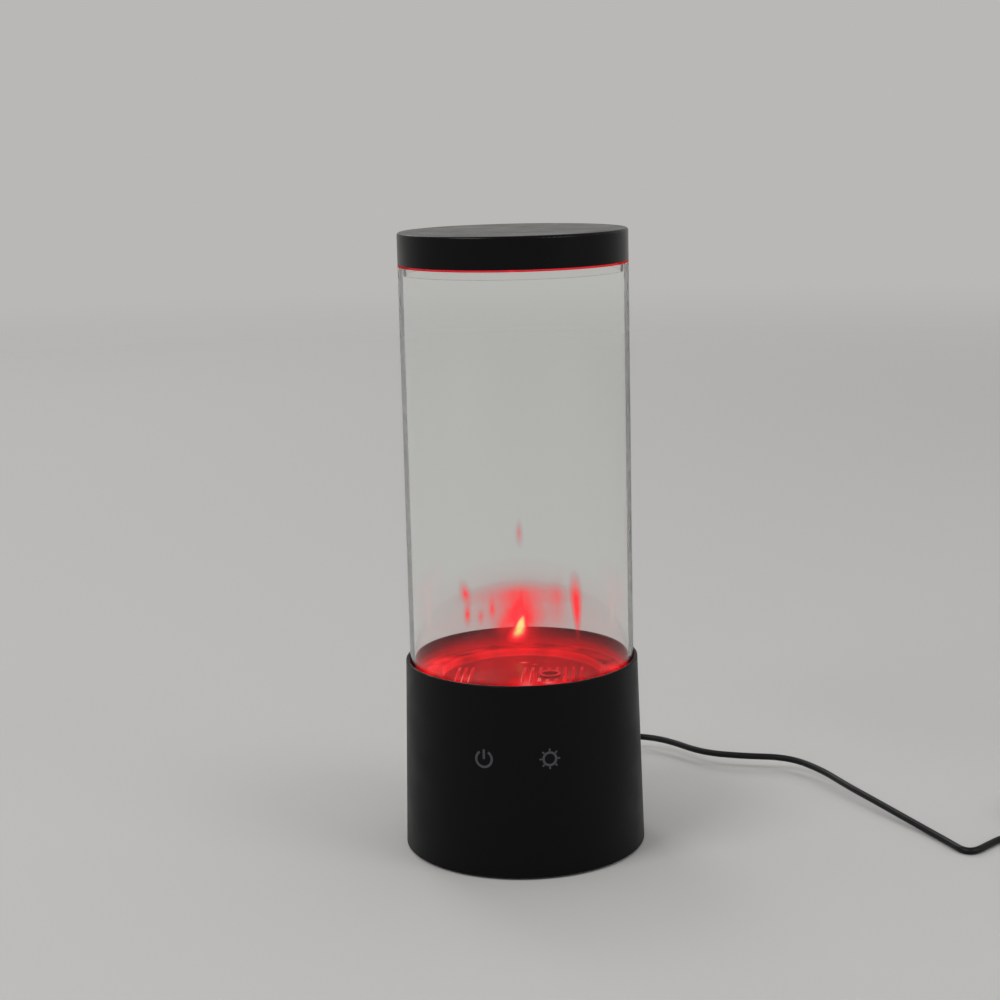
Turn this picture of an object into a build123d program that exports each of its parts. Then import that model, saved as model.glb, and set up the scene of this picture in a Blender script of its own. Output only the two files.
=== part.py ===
from build123d import *
import math
import os

# Table lamp with a clear upright tank on a round black base: the pump and the lights are in
# the base, a loose lid closes the tank, and a thin lead ends in a coil with a plug.
# Millimetres. The origin is on the table at the centre of the base, +Z is up, and the front,
# with the touch marks, faces -Y.

# Overall form
lamp_height = 265.7
base_height = 82.9
rim_radius = 50.0
base_flare = 2.2
lid_height = 13.3

# Fits shared by many pieces
overrun = 1.0
seat_gap = 0.2
slip_gap = 0.15
running_gap = 0.05

# Base housing, a drafted moulded shell with a shelf for the tank
housing_wall = 2.4
rim_wall = 1.5
rim_edge = 0.5
base_stand = 1.0
shelf_thickness = 2.6
shelf_width = 5.5
cover_boss_inset = 4.8
cover_boss_radius = 3.2
carrier_boss_inset = 5.2
carrier_boss_radius = 3.0
boss_web = 1.6
cover_boss_angles = (45.0, 135.0, 225.0, 315.0)
carrier_boss_angles = (345.0, 60.0, 120.0, 195.0)

# Bottom cover, its pads and the screws
bottom_thickness = 3.0
pad_radius = 6.0
pad_recess = 1.0
pad_inset = 12.0
pad_count = 4
pad_edge = 0.4
tapping_radius = 1.25
tapping_head_radius = 2.4
tapping_head_height = 1.6
tapping_length = 9.0
head_recess = 0.3
drive_recess_radius = 0.9
drive_recess_depth = 0.8

# Tank
tank_fit = 0.3
tube_wall = 2.0
floor_depth = 6.9
floor_plate = 2.0
spigot_height = 2.4
flange_thickness = 1.2
seal_section = 1.1
pan_inset = 11.4
pan_wall = 1.5
pan_thickness = 1.8
ledge_width = 1.5
bead_width = 1.2
bead_height = 0.6
flange_width = 5.4

# Pump under its cover
cover_drop = 2.8
pump_cover_thickness = 1.4
cover_gap = 0.8
volute_height = 5.0
volute_plate_thickness = 1.4
volute_wall = 1.5
volute_start_radius = 9.3
volute_growth = 1.8
outlet_angle = 10.0
outlet_circle_radius = 12.2
outlet_bore_radius = 3.6
outlet_wall = 1.1
outlet_stand = 1.0
outlet_collar = 1.6
volute_lead = 20.0
eye_radius = 4.6
spider_arm = 0.9
spider_hub_radius = 2.0
slot_width = 1.4
slot_length = 24.0
slot_offset = 3.0
left_slot_count = 3
left_slot_pitch = 3.0
left_slots_inset = 9.3
right_slot_count = 8
right_slot_pitch = 3.6
right_slots_inset = 21.7
cover_leg_radius = 2.0
cover_leg_inset = 6.8
cover_leg_angles = (70.0, 180.0 + 70.0, 125.0)

# Impeller, its magnet and its pin
impeller_radius = 8.2
shroud_thickness = 1.0
vane_count = 6
vane_thickness = 0.8
vane_height = 3.0
vane_root_radius = 2.9
vane_sweep = 48.0
vane_bend_share = 0.36
impeller_lift = 0.6
hub_radius = 6.6
hub_sleeve_radius = 2.3
hub_cap_radius = 2.5
hub_cap_height = 2.4
pin_radius = 0.8
pin_seat = 1.2
thrust_boss_radius = 1.8
thrust_boss_height = 0.3
thrust_gap = 0.3
magnet_height = 5.0
magnet_wall = 0.7
magnet_gap = 0.1
pocket_radius = 7.4
pocket_wall = 1.4
pocket_depth = 7.2
pocket_bottom_thickness = 1.6

# Magnetic drive and motor
drive_gap = 0.8
drive_disc_radius = 9.5
drive_disc_thickness = 3.8
drive_hub_radius = 3.2
drive_hub_height = 1.2
drive_magnet_radius = 2.5
drive_magnet_height = 3.0
drive_magnet_circle_radius = 5.8
drive_magnet_count = 4
shaft_radius = 1.0
shaft_below_top = 1.0
motor_radius = 12.2
motor_height = 11.0
motor_edge = 0.8
bush_radius = 3.0
bush_height = 1.5
end_cap_thickness = 1.6
end_cap_inset = 0.6
terminal_width = 2.0
terminal_thickness = 0.5
terminal_length = 3.0
terminal_spread = 6.0
motor_screw_spread = 7.0
motor_screw_radius = 0.9
motor_screw_head_radius = 1.7
motor_screw_head_height = 1.2
motor_screw_length = 4.5

# Carrier plate that holds the motor and the ring of lights
carrier_inset = 9.0
carrier_thickness = 2.0
carrier_head_room = 0.6
carrier_front_gap = 3.2
carrier_rib_height = 2.4
carrier_rib = 1.6
carrier_rib_room = 3.8
carrier_rib_count = 6
carrier_rib_turn = 30.0
standoff_radius = 2.6
standoff_inset = 9.0
standoff_count = 3
standoff_turn = 90.0
lead_notch_inset = 6.0
lead_notch_radius = 3.0

# Ring of lights
led_board_inset = 8.6
led_board_margin = 6.0
board_thickness = 1.6
led_clearance = 3.8
led_side = 5.0
led_height = 1.5
led_edge = 0.5
led_lens_radius = 1.9
led_lens_depth = 0.3
led_inset = 3.2
led_count = 12
led_turn = 93.0

# Main board on the bottom cover
main_board_length = 52.0
main_board_width = 38.0
main_board_corner = 2.0
main_board_centre_y = 1.0
main_standoff_height = 4.0
main_standoff_radius = 2.5
main_screw_inset_x = 5.0
main_screw_inset_y = 4.0
chip_length = 9.9
chip_width = 6.0
chip_height = 1.7
chip_x = 6.0
chip_y = -4.0
chip_lead_pitch = 1.27
chip_lead_count = 7
chip_lead_width = 0.5
chip_lead_length = 1.0
capacitor_radius = 3.2
capacitor_height = 9.0
capacitor_x = -14.0
capacitor_y = 9.5
socket_length = 7.5
socket_width = 6.0
socket_height = 5.6
socket_wall = 0.8
socket_depth = 3.6
side_socket_inset = 7.0
side_socket_y = -4.0
power_socket_inset = 7.0
touch_socket_inset = 5.0

# Thin wires from the main board's sockets; each climbs beside what it passes and then turns in
wire_radius = 0.6
wire_spread = 2.4
wire_step = 7.5
wire_pass = 2.6
wire_end_run = 10.5
wire_out_shares = (0.52, 0.92, 1.0, 0.98)
wire_up_shares = (0.0, 0.22, 0.5, 0.78)
light_wire_inset = 6.0
motor_wire_inset = 7.5
touch_wire_room = 7.5
touch_wire_rise = 1.9

# Touch board behind the front wall
touch_angle = 15.5
touch_board_end_room = 3.45
touch_board_height = 15.2
touch_board_thickness = 1.2
touch_board_inset = 12.0
touch_board_gap = 0.6
touch_board_above_mark = 5.0
touch_pad_radius = 4.2
guide_lip = 1.6
guide_side = 2.2

# Lid and its seal
lid_top_thickness = 2.4
lid_edge = 1.1
lid_foot_edge = 0.3
lid_seat_width = 4.6
seal_flange = 0.8
seal_lip = 1.2
seal_lip_drop = 3.2
seal_lip_rise = 2.6
lid_rib_count = 6
lid_rib = 1.4
lid_rib_height = 2.0
lid_hub_radius = 6.0

# Lead, strain relief, coil and plug
cord_radius = 1.5
exit_height = 14.0
relief_hole_radius = 3.25
relief_flange_radius = 4.6
relief_flange_thickness = 1.5
relief_root_radius = 3.1
relief_tip_radius = 2.1
relief_length = 13.0
relief_groove = 0.9
relief_groove_count = 4
relief_groove_depth = 0.35
coil_centre_x = 242.0
coil_from_exit = -44.5
coil_mid_radius = 18.0
coil_turns = 7.25
coil_pitch = 3.5
coil_layer_pitch = 3.5
coil_climb_turns = 0.5
coil_biarc_turns = 0.5
coil_entry = 11.0
tie_thickness = 0.6
tie_width = 5.0
tie_angle = -45.0
tie_corner = 1.2
plug_relief_length = 10.0
plug_relief_radius = 2.6
plug_relief_tip_radius = 2.0
plug_body_length = 20.0
plug_body_width = 15.6
plug_body_thickness = 8.4
plug_body_corner = 1.8
plug_grip_count = 4
plug_grip_width = 1.0
plug_grip_depth = 0.4
plug_grip_share = 0.55
shell_width = 12.0
shell_thickness = 4.5
shell_length = 12.0
shell_wall = 0.3
tongue_thickness = 1.8
tongue_inset = 0.5
shell_window = 2.0
shell_window_from_tip = 5.5

# The lead's route after the strain relief, in the order that it runs: behind the base, out to
# the right, down to the table, through its kink, and up to the coil. Its second places are
# counted from the strain relief's end.
lead_route = [
    (0.0, 7.0, 14.0),
    (2.0, 16.5, 13.4),
    (7.5, 29.5, 11.9),
    (17.0, 43.5, 9.8),
    (32.0, 55.0, 7.7),
    (51.0, 59.0, 6.4),
    (64.5, 51.0, 6.4),
    (80.5, 30.5, 6.8),
    (100.0, 25.3, 6.6),
    (122.0, 24.7, 6.1),
    (136.0, 8.0, 5.5),
    (146.0, -13.5, 4.9),
    (156.0, -31.0, 4.1),
    (166.5, -49.3, 3.0),
    (176.5, -66.0, 1.8),
    (183.2, -79.0, 1.55),
    (187.0, -87.7, 1.55),
    (192.0, -88.3, 1.55),
    (198.0, -81.3, 1.55),
    (206.5, -72.0, 1.6),
    (217.0, -69.4, 1.9),
]

# Levels, worked out from the rim downwards
tank_floor_top = base_height - floor_depth
tube_bottom = tank_floor_top - spigot_height
shelf_top = tube_bottom - flange_thickness
shelf_bottom = shelf_top - shelf_thickness
floor_underside = tank_floor_top - floor_plate
pump_cover_top = tank_floor_top - cover_drop
pump_cover_bottom = pump_cover_top - pump_cover_thickness
volute_plate_top = pump_cover_bottom - cover_gap
volute_top = volute_plate_top - volute_plate_thickness
pan_floor = volute_top - volute_height
pan_bottom = pan_floor - pan_thickness
pocket_floor = pan_floor - pocket_depth
pocket_bottom = pocket_floor - pocket_bottom_thickness
drive_top = pocket_bottom - drive_gap
drive_bottom = drive_top - drive_disc_thickness
carrier_top = drive_bottom - carrier_head_room - motor_screw_head_height
carrier_bottom = carrier_top - carrier_thickness
motor_bottom = carrier_bottom - motor_height
led_board_top = pan_bottom - led_clearance
led_board_bottom = led_board_top - board_thickness
bottom_top = base_stand + bottom_thickness
main_board_bottom = bottom_top + main_standoff_height
main_board_top = main_board_bottom + board_thickness
touch_height = led_board_bottom - touch_board_gap - touch_board_above_mark
lid_bottom = lamp_height - lid_height
tube_top = lid_bottom - seal_flange

# Radii of the base and the tank, worked out from the rim inwards
foot_radius = rim_radius + base_flare
bore_radius = rim_radius - rim_wall
shelf_inner_radius = bore_radius - shelf_width
tube_radius = bore_radius - tank_fit
tube_inner_radius = tube_radius - tube_wall
spigot_radius = tube_inner_radius - seat_gap
pan_radius = tube_inner_radius - pan_inset
pan_outer_radius = pan_radius + pan_wall
lid_radius = tube_radius

# Circles and edges that the inner pieces share
cover_boss_circle_radius = rim_radius - cover_boss_inset
carrier_boss_circle_radius = rim_radius - carrier_boss_inset
pad_circle_radius = rim_radius - pad_inset
cover_leg_circle_radius = pan_radius - cover_leg_inset
left_slots_x = left_slots_inset - pan_radius
right_slots_x = pan_radius - right_slots_inset
touch_board_y = rim_radius - touch_board_inset
carrier_radius = rim_radius - carrier_inset
carrier_front = touch_board_y - carrier_front_gap
carrier_rib_ring = motor_radius + carrier_rib_room
standoff_circle_radius = carrier_radius - standoff_inset
lead_notch_circle_radius = carrier_radius - lead_notch_inset
led_board_radius = rim_radius - led_board_inset
led_board_bore = standoff_circle_radius - led_board_margin
led_circle_radius = led_board_radius - led_inset
side_socket_x = main_board_length / 2 - side_socket_inset
power_socket_y = main_board_centre_y + main_board_width / 2 - power_socket_inset
touch_socket_y = main_board_centre_y - main_board_width / 2 + touch_socket_inset


def outer_radius(z):
    """Radius of the drafted outside of the base at height z."""
    return foot_radius - (foot_radius - rim_radius) * z / base_height


def inner_radius(z):
    """Radius of the inside of the housing's wall at height z."""
    return outer_radius(z) - housing_wall


def polar(radius, degrees):
    """The point at that radius and angle in plan."""
    angle = math.radians(degrees)
    return (radius * math.cos(angle), radius * math.sin(angle))


def places(radius, angles):
    """Locations on a circle at each of the angles."""
    return [Location((*polar(radius, a), 0), (0, 0, a)) for a in angles]


def even_angles(count, first=0.0):
    """Evenly spaced angles round a circle."""
    return [first + k * 360.0 / count for k in range(count)]


def screw(name, spots, head_seat, up, length, radius, head_radius, head_height):
    """Pan-headed screws at the spots, seated at head_seat, with their shanks up or down."""
    way = 1 if up else -1
    with BuildPart() as made:
        with BuildSketch(Plane.XY.offset(head_seat)):
            with Locations(*spots):
                Circle(radius)
        extrude(amount=way * length)
        with BuildSketch(Plane.XY.offset(head_seat)):
            with Locations(*spots):
                Circle(head_radius)
        extrude(amount=-way * head_height)
        with BuildSketch(Plane.XY.offset(head_seat - way * head_height)):
            with Locations(*spots):
                RegularPolygon(drive_recess_radius * radius / tapping_radius, 4)
        extrude(amount=way * drive_recess_depth * radius / tapping_radius, mode=Mode.SUBTRACT)
    save(made.part, name)


def save(part, name):
    """Labels a finished piece and writes it to its own file."""
    part.label = name
    export_step(part, "parts/" + name + ".step")


def route_radii(points, name):
    """The arc at each corner of a route, as large as its two shorter runs allow."""
    radii = []
    for before, here, after in zip(points, points[1:], points[2:]):
        run_in = Vector(*here) - Vector(*before)
        run_out = Vector(*after) - Vector(*here)
        half_turn = math.radians(run_in.get_angle(run_out)) / 2
        radii.append(0.45 * min(run_in.length, run_out.length) / math.tan(half_turn))
    print(name, "arc radii", [round(r, 1) for r in radii])
    return radii


def report_tube(name, length, radius, volume):
    """Prints a tube's length, and its volume over its section times its length."""
    share = volume / (math.pi * radius**2 * length)
    print(name, "length", round(length, 1), "volume share", round(share, 5))


def tube_along(points, radius, name):
    """A round tube swept along straight runs joined by tangent arcs."""
    with BuildPart() as made:
        with BuildLine() as path:
            FilletPolyline(*points, radius=route_radii(points, name))
        route = path.wire()
        with BuildSketch(Plane(origin=points[0], z_dir=route % 0)):
            Circle(radius)
        sweep(path=route)
    report_tube(name, route.length, radius, made.part.volume)
    return made.part


def wire_climb(mouth, rise, low, high):
    """Distance out and height of a wire's corners as it leaves a mouth and climbs at the rise."""
    shares = zip(wire_out_shares, wire_up_shares)
    return [(mouth + out * (rise - mouth), low + up * (high - low)) for out, up in shares]


def save_wires(routes, name):
    """A thin tube along each route, saved as one piece."""
    tubes = [tube_along(points, wire_radius, name) for points in routes]
    with BuildPart() as made:
        for tube in tubes:
            add(tube)
    save(made.part, name)


os.makedirs("parts", exist_ok=True)


# Base housing
with BuildPart() as base_housing:
    with BuildSketch(Plane.XZ):
        with BuildLine():
            Polyline(
                (outer_radius(base_stand), base_stand),
                (rim_radius, base_height),
                (bore_radius, base_height),
                (bore_radius, shelf_top),
                (shelf_inner_radius, shelf_top),
                (shelf_inner_radius, shelf_bottom),
                (inner_radius(shelf_bottom), shelf_bottom),
                (inner_radius(base_stand), base_stand),
                close=True,
            )
        make_face()
    revolve(axis=Axis.Z)
    fillet(base_housing.edges().filter_by(GeomType.CIRCLE).group_by(Axis.Z)[-1], rim_edge)
    # Screw bosses hang from the shelf, each tied to the wall by a web.
    for circle, radius, angles, low in (
        (cover_boss_circle_radius, cover_boss_radius, cover_boss_angles, bottom_top),
        (carrier_boss_circle_radius, carrier_boss_radius, carrier_boss_angles, carrier_top),
    ):
        with BuildSketch(Plane.XY.offset(low)):
            with Locations(*places(circle, angles)):
                Circle(radius)
            with Locations(*places((circle + rim_radius) / 2, angles)):
                Rectangle(rim_radius - circle, boss_web)
        extrude(amount=shelf_top - low)
        with BuildSketch(Plane.XY.offset(low)):
            with Locations(*places(circle, angles)):
                Circle(tapping_radius + running_gap)
        extrude(amount=tapping_length + overrun, mode=Mode.SUBTRACT)
    # Two upright guides hold the touch board by its ends.
    guide_low = touch_height + touch_board_above_mark - touch_board_height
    guide_high = guide_low + touch_board_height
    touch_board_reach = math.sqrt(inner_radius(guide_low) ** 2 - touch_board_y**2)
    touch_board_half_width = touch_board_reach - touch_board_end_room
    with BuildSketch(Plane.XY.offset(guide_low - guide_side)) as guides:
        guide_y = -touch_board_y + touch_board_thickness / 2
        guide_depth = touch_board_thickness + 2 * guide_side
        with Locations((0, guide_y)):
            Rectangle(2 * rim_radius, guide_depth)
        Circle(inner_radius(guide_high) + housing_wall / 2, mode=Mode.INTERSECT)
        with Locations((0, guide_y)):
            Rectangle(2 * (touch_board_half_width - guide_lip), guide_depth, mode=Mode.SUBTRACT)
    extrude(amount=touch_board_height + guide_side)
    with BuildSketch(Plane.XY.offset(guide_low)):
        with Locations((0, guide_y)):
            Rectangle(2 * (touch_board_half_width + slip_gap), touch_board_thickness + slip_gap)
    extrude(amount=touch_board_height + overrun, mode=Mode.SUBTRACT)
    # The lead's hole through the rear wall.
    with BuildSketch(Plane.XZ.offset(-inner_radius(exit_height) + housing_wall)):
        with Locations((0, exit_height)):
            Circle(relief_hole_radius)
    extrude(amount=-3 * housing_wall, mode=Mode.SUBTRACT)
save(base_housing.part, "base_housing")


# Bottom cover with its pad recesses, counterbored screw holes and board standoffs
main_screw_reach_y = main_board_width / 2 - main_screw_inset_y
main_screw_spots = [
    (side * (main_board_length / 2 - main_screw_inset_x), main_board_centre_y + end * main_screw_reach_y)
    for side in (-1, 1)
    for end in (-1, 1)
]
cover_screw_spots = [polar(cover_boss_circle_radius, a) for a in cover_boss_angles]
with BuildPart() as bottom_cover:
    with BuildSketch(Plane.XY.offset(base_stand)):
        Circle(inner_radius(bottom_top) - seat_gap)
    extrude(amount=bottom_thickness)
    with BuildSketch(Plane.XY.offset(base_stand)):
        with PolarLocations(pad_circle_radius, pad_count):
            Circle(pad_radius + slip_gap)
    extrude(amount=pad_recess, mode=Mode.SUBTRACT)
    with BuildSketch(Plane.XY.offset(bottom_top)):
        with Locations(*main_screw_spots):
            Circle(main_standoff_radius)
    extrude(amount=main_standoff_height)
    with BuildSketch(Plane.XY.offset(base_stand)):
        with Locations(*cover_screw_spots):
            Circle(tapping_radius + slip_gap)
    extrude(amount=bottom_thickness, mode=Mode.SUBTRACT)
    with BuildSketch(Plane.XY.offset(base_stand)):
        with Locations(*cover_screw_spots):
            Circle(tapping_head_radius + slip_gap)
    extrude(amount=head_recess + tapping_head_height, mode=Mode.SUBTRACT)
    with BuildSketch(Plane.XY.offset(main_board_bottom)):
        with Locations(*main_screw_spots):
            Circle(motor_screw_radius + running_gap)
    extrude(amount=-main_standoff_height, mode=Mode.SUBTRACT)
save(bottom_cover.part, "bottom_cover")

with BuildPart() as foot_pads:
    with BuildSketch(Plane.XY):
        with PolarLocations(pad_circle_radius, pad_count):
            Circle(pad_radius)
    extrude(amount=base_stand + pad_recess)
    fillet(foot_pads.edges().filter_by(GeomType.CIRCLE).group_by(Axis.Z)[0], pad_edge)
save(foot_pads.part, "foot_pads")

screw(
    "cover_screws",
    cover_screw_spots,
    base_stand + head_recess + tapping_head_height,
    True,
    tapping_length,
    tapping_radius,
    tapping_head_radius,
    tapping_head_height,
)


# Tank tube
with BuildPart() as tank_tube:
    with BuildSketch(Plane.XY.offset(tube_bottom)):
        Circle(tube_radius)
        Circle(tube_inner_radius, mode=Mode.SUBTRACT)
    extrude(amount=tube_top - tube_bottom)
save(tank_tube.part, "tank_tube")


# Tank floor: flange and spigot for the tube, a stepped pan for the pump, the spiral wall of
# the volute and the pocket that the impeller's magnet turns in
def volute_outline(grow):
    """The volute's spiral moved outwards by grow: four quarter arcs and a radial end."""
    first = outlet_angle + volute_lead
    radii = [volute_start_radius + grow + k * volute_growth for k in range(5)]
    ends = [polar(r, first + 90.0 * k) for k, r in enumerate(radii)]
    mids = [polar(r + volute_growth / 2, first + 90.0 * k + 45.0) for k, r in enumerate(radii[:-1])]
    for start, middle, end in zip(ends, mids, ends[1:]):
        ThreePointArc(start, middle, end)
    Line(ends[-1], ends[0])


spigot_groove_low = tube_bottom + (spigot_height - seal_section) / 2
with BuildPart() as tank_floor:
    with BuildSketch(Plane.XZ):
        with BuildLine():
            Polyline(
                (0, pocket_bottom),
                (pocket_radius + pocket_wall, pocket_bottom),
                (pocket_radius + pocket_wall, pan_bottom),
                (pan_outer_radius, pan_bottom),
                (pan_outer_radius, floor_underside),
                (tube_radius - flange_width, floor_underside),
                (tube_radius - flange_width, shelf_top),
                (tube_radius, shelf_top),
                (tube_radius, tube_bottom),
                (spigot_radius, tube_bottom),
                (spigot_radius, spigot_groove_low),
                (spigot_radius - seal_section + slip_gap, spigot_groove_low),
                (spigot_radius - seal_section + slip_gap, spigot_groove_low + seal_section),
                (spigot_radius, spigot_groove_low + seal_section),
                (spigot_radius, tank_floor_top),
                (pan_radius + bead_width, tank_floor_top),
                (pan_radius + bead_width, tank_floor_top + bead_height),
                (pan_radius, tank_floor_top + bead_height),
                (pan_radius, pump_cover_bottom),
                (pan_radius - ledge_width, pump_cover_bottom),
                (pan_radius - ledge_width, pan_floor),
                (pocket_radius, pan_floor),
                (pocket_radius, pocket_floor),
                (thrust_boss_radius, pocket_floor),
                (thrust_boss_radius, pocket_floor + thrust_boss_height),
                (pin_radius, pocket_floor + thrust_boss_height),
                (pin_radius, pocket_floor - pin_seat),
                (0, pocket_floor - pin_seat),
                close=True,
            )
        make_face()
    revolve(axis=Axis.Z)
    with BuildSketch(Plane.XY.offset(pan_floor)):
        with BuildLine():
            volute_outline(volute_wall)
        make_face()
        with BuildLine():
            volute_outline(0)
        make_face(mode=Mode.SUBTRACT)
    extrude(amount=volute_height)
    # The spiral's tongue closes its wide end onto its narrow one.
    with BuildSketch(Plane.XY.offset(pan_floor)):
        with Locations(*places(volute_start_radius, [outlet_angle + volute_lead])):
            Rectangle(4 * volute_growth + volute_wall / 2, volute_wall, align=(Align.MIN, Align.MAX))
    extrude(amount=volute_height)
save(tank_floor.part, "tank_floor")

with BuildPart() as tank_seal:
    with BuildSketch(Plane.XZ):
        seal_centre = tube_inner_radius - running_gap - seal_section / 2
        with Locations((seal_centre, spigot_groove_low + seal_section / 2)):
            RectangleRounded(seal_section, seal_section - running_gap, seal_section / 4)
    revolve(axis=Axis.Z)
save(tank_seal.part, "tank_seal")


# Volute plate with the pump's eye, its spider and the outlet spout
outlet_spot = polar(outlet_circle_radius, outlet_angle)
with BuildPart() as volute_plate:
    with BuildSketch(Plane.XY.offset(volute_top)):
        with BuildLine():
            volute_outline(volute_wall)
        make_face()
        Circle(eye_radius, mode=Mode.SUBTRACT)
        Circle(spider_hub_radius)
        with PolarLocations((eye_radius + spider_hub_radius) / 2, 3):
            Rectangle(eye_radius, spider_arm)
    extrude(amount=volute_plate_thickness)
    with BuildSketch(Plane.XY.offset(volute_plate_top)):
        with Locations(outlet_spot):
            Circle(outlet_bore_radius + outlet_wall)
    extrude(amount=pump_cover_top + outlet_stand - volute_plate_top)
    with BuildSketch(Plane.XY.offset(volute_top)):
        with Locations(outlet_spot):
            Circle(outlet_bore_radius)
    extrude(amount=pump_cover_top + outlet_stand - volute_top, mode=Mode.SUBTRACT)
    with BuildSketch(Plane.XY.offset(volute_top)):
        Circle(pin_radius + running_gap)
    extrude(amount=volute_plate_thickness / 2, mode=Mode.SUBTRACT)
save(volute_plate.part, "volute_plate")


# Pump cover: the disc in the tank's floor, with its two groups of slots. A collar round the
# spout's hole cuts short the slots that would meet it.
with BuildPart() as pump_cover:
    with BuildSketch(Plane.XY.offset(pump_cover_bottom)):
        Circle(pan_radius - seat_gap)
        for slots_x, pitch, count in (
            (left_slots_x, left_slot_pitch, left_slot_count),
            (right_slots_x, right_slot_pitch, right_slot_count),
        ):
            with Locations((slots_x, slot_offset)):
                with GridLocations(pitch, pitch, count, 1):
                    SlotOverall(slot_length, slot_width, rotation=90, mode=Mode.SUBTRACT)
        with Locations(outlet_spot):
            Circle(outlet_bore_radius + outlet_wall + slip_gap + outlet_collar)
            Circle(outlet_bore_radius + outlet_wall + slip_gap, mode=Mode.SUBTRACT)
    extrude(amount=pump_cover_thickness)
    with BuildSketch(Plane.XY.offset(pump_cover_bottom)):
        with Locations(*places(cover_leg_circle_radius, cover_leg_angles)):
            Circle(cover_leg_radius)
    extrude(amount=pan_floor - pump_cover_bottom)
save(pump_cover.part, "pump_cover")


# Impeller on its pin: curved vanes on a shroud, over a hub that holds a ring magnet
hub_bottom = pocket_floor + thrust_boss_height + thrust_gap
shroud_bottom = pan_floor + impeller_lift
shroud_top = shroud_bottom + shroud_thickness
vane_mid_radius = (vane_root_radius + impeller_radius) / 2
magnet_outer_radius = hub_radius - magnet_wall
with BuildPart() as impeller:
    with BuildSketch(Plane.XY.offset(hub_bottom)):
        Circle(hub_radius)
    extrude(amount=shroud_bottom - hub_bottom)
    with BuildSketch(Plane.XY.offset(hub_bottom)):
        Circle(magnet_outer_radius)
        Circle(hub_sleeve_radius, mode=Mode.SUBTRACT)
    extrude(amount=magnet_height + magnet_gap, mode=Mode.SUBTRACT)
    with BuildSketch(Plane.XY.offset(shroud_bottom)):
        Circle(impeller_radius)
    extrude(amount=shroud_thickness)
    with BuildSketch(Plane.XY.offset(shroud_top)):
        Circle(hub_cap_radius)
    extrude(amount=hub_cap_height)
    for turn in even_angles(vane_count):
        with BuildSketch(Plane.XY.offset(shroud_top)):
            with BuildLine() as vane:
                ThreePointArc(
                    polar(vane_root_radius - vane_thickness, turn),
                    polar(vane_mid_radius, turn - vane_sweep * vane_bend_share),
                    polar(impeller_radius - vane_thickness, turn - vane_sweep),
                )
            trace(line_width=vane_thickness)
        extrude(amount=vane_height)
    with BuildSketch(Plane.XY.offset(hub_bottom)):
        Circle(pin_radius + running_gap)
    extrude(amount=shroud_top + hub_cap_height - hub_bottom, mode=Mode.SUBTRACT)
save(impeller.part, "impeller")

with BuildPart() as impeller_magnet:
    with BuildSketch(Plane.XY.offset(hub_bottom)):
        Circle(magnet_outer_radius - running_gap)
        Circle(hub_sleeve_radius + running_gap, mode=Mode.SUBTRACT)
    extrude(amount=magnet_height)
save(impeller_magnet.part, "impeller_magnet")

with BuildPart() as impeller_pin:
    with BuildSketch(Plane.XY.offset(pocket_floor - pin_seat)):
        Circle(pin_radius)
    extrude(amount=volute_top + volute_plate_thickness / 2 - running_gap - pocket_floor + pin_seat)
save(impeller_pin.part, "impeller_pin")


# Drive disc with its magnets, on the motor's shaft
with BuildPart() as drive_disc:
    with BuildSketch(Plane.XY.offset(drive_bottom)):
        Circle(drive_disc_radius)
    extrude(amount=drive_disc_thickness)
    with BuildSketch(Plane.XY.offset(drive_bottom)):
        Circle(drive_hub_radius)
    extrude(amount=-drive_hub_height)
    with BuildSketch(Plane.XY.offset(drive_top)):
        with PolarLocations(drive_magnet_circle_radius, drive_magnet_count):
            Circle(drive_magnet_radius + running_gap)
    extrude(amount=-drive_magnet_height, mode=Mode.SUBTRACT)
    with BuildSketch(Plane.XY.offset(drive_bottom - drive_hub_height)):
        Circle(shaft_radius)
    extrude(amount=drive_disc_thickness + drive_hub_height - shaft_below_top, mode=Mode.SUBTRACT)
save(drive_disc.part, "drive_disc")

with BuildPart() as drive_magnets:
    with BuildSketch(Plane.XY.offset(drive_top - drive_magnet_height)):
        with PolarLocations(drive_magnet_circle_radius, drive_magnet_count):
            Circle(drive_magnet_radius)
    extrude(amount=drive_magnet_height)
save(drive_magnets.part, "drive_magnets")

with BuildPart() as motor_shaft:
    with BuildSketch(Plane.XY.offset(motor_bottom + seat_gap)):
        Circle(shaft_radius)
    extrude(amount=drive_top - shaft_below_top - motor_bottom - seat_gap)
save(motor_shaft.part, "motor_shaft")


# Motor: a drawn steel can with a bush, closed below by a moulded cap with two terminals
motor_screw_spots = [(motor_screw_spread, 0), (-motor_screw_spread, 0)]
with BuildPart() as motor_can:
    with BuildSketch(Plane.XY.offset(motor_bottom)):
        Circle(motor_radius)
    extrude(amount=motor_height)
    fillet(motor_can.edges().filter_by(GeomType.CIRCLE).group_by(Axis.Z)[-1], motor_edge)
    with BuildSketch(Plane.XY.offset(carrier_bottom)):
        Circle(bush_radius)
    extrude(amount=bush_height)
    with BuildSketch(Plane.XY.offset(motor_bottom)):
        Circle(shaft_radius + running_gap)
    extrude(amount=motor_height + bush_height, mode=Mode.SUBTRACT)
    with BuildSketch(Plane.XY.offset(carrier_bottom)):
        with Locations(*motor_screw_spots):
            Circle(motor_screw_radius + running_gap)
    extrude(amount=-motor_screw_length, mode=Mode.SUBTRACT)
save(motor_can.part, "motor_can")

with BuildPart() as motor_end_cap:
    with BuildSketch(Plane.XY.offset(motor_bottom)):
        Circle(motor_radius - end_cap_inset)
    extrude(amount=-end_cap_thickness)
    with BuildSketch(Plane.XY.offset(motor_bottom - end_cap_thickness)):
        with Locations((terminal_spread, 0), (-terminal_spread, 0)):
            Rectangle(terminal_thickness, terminal_width)
    extrude(amount=-terminal_length)
save(motor_end_cap.part, "motor_end_cap")

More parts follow.
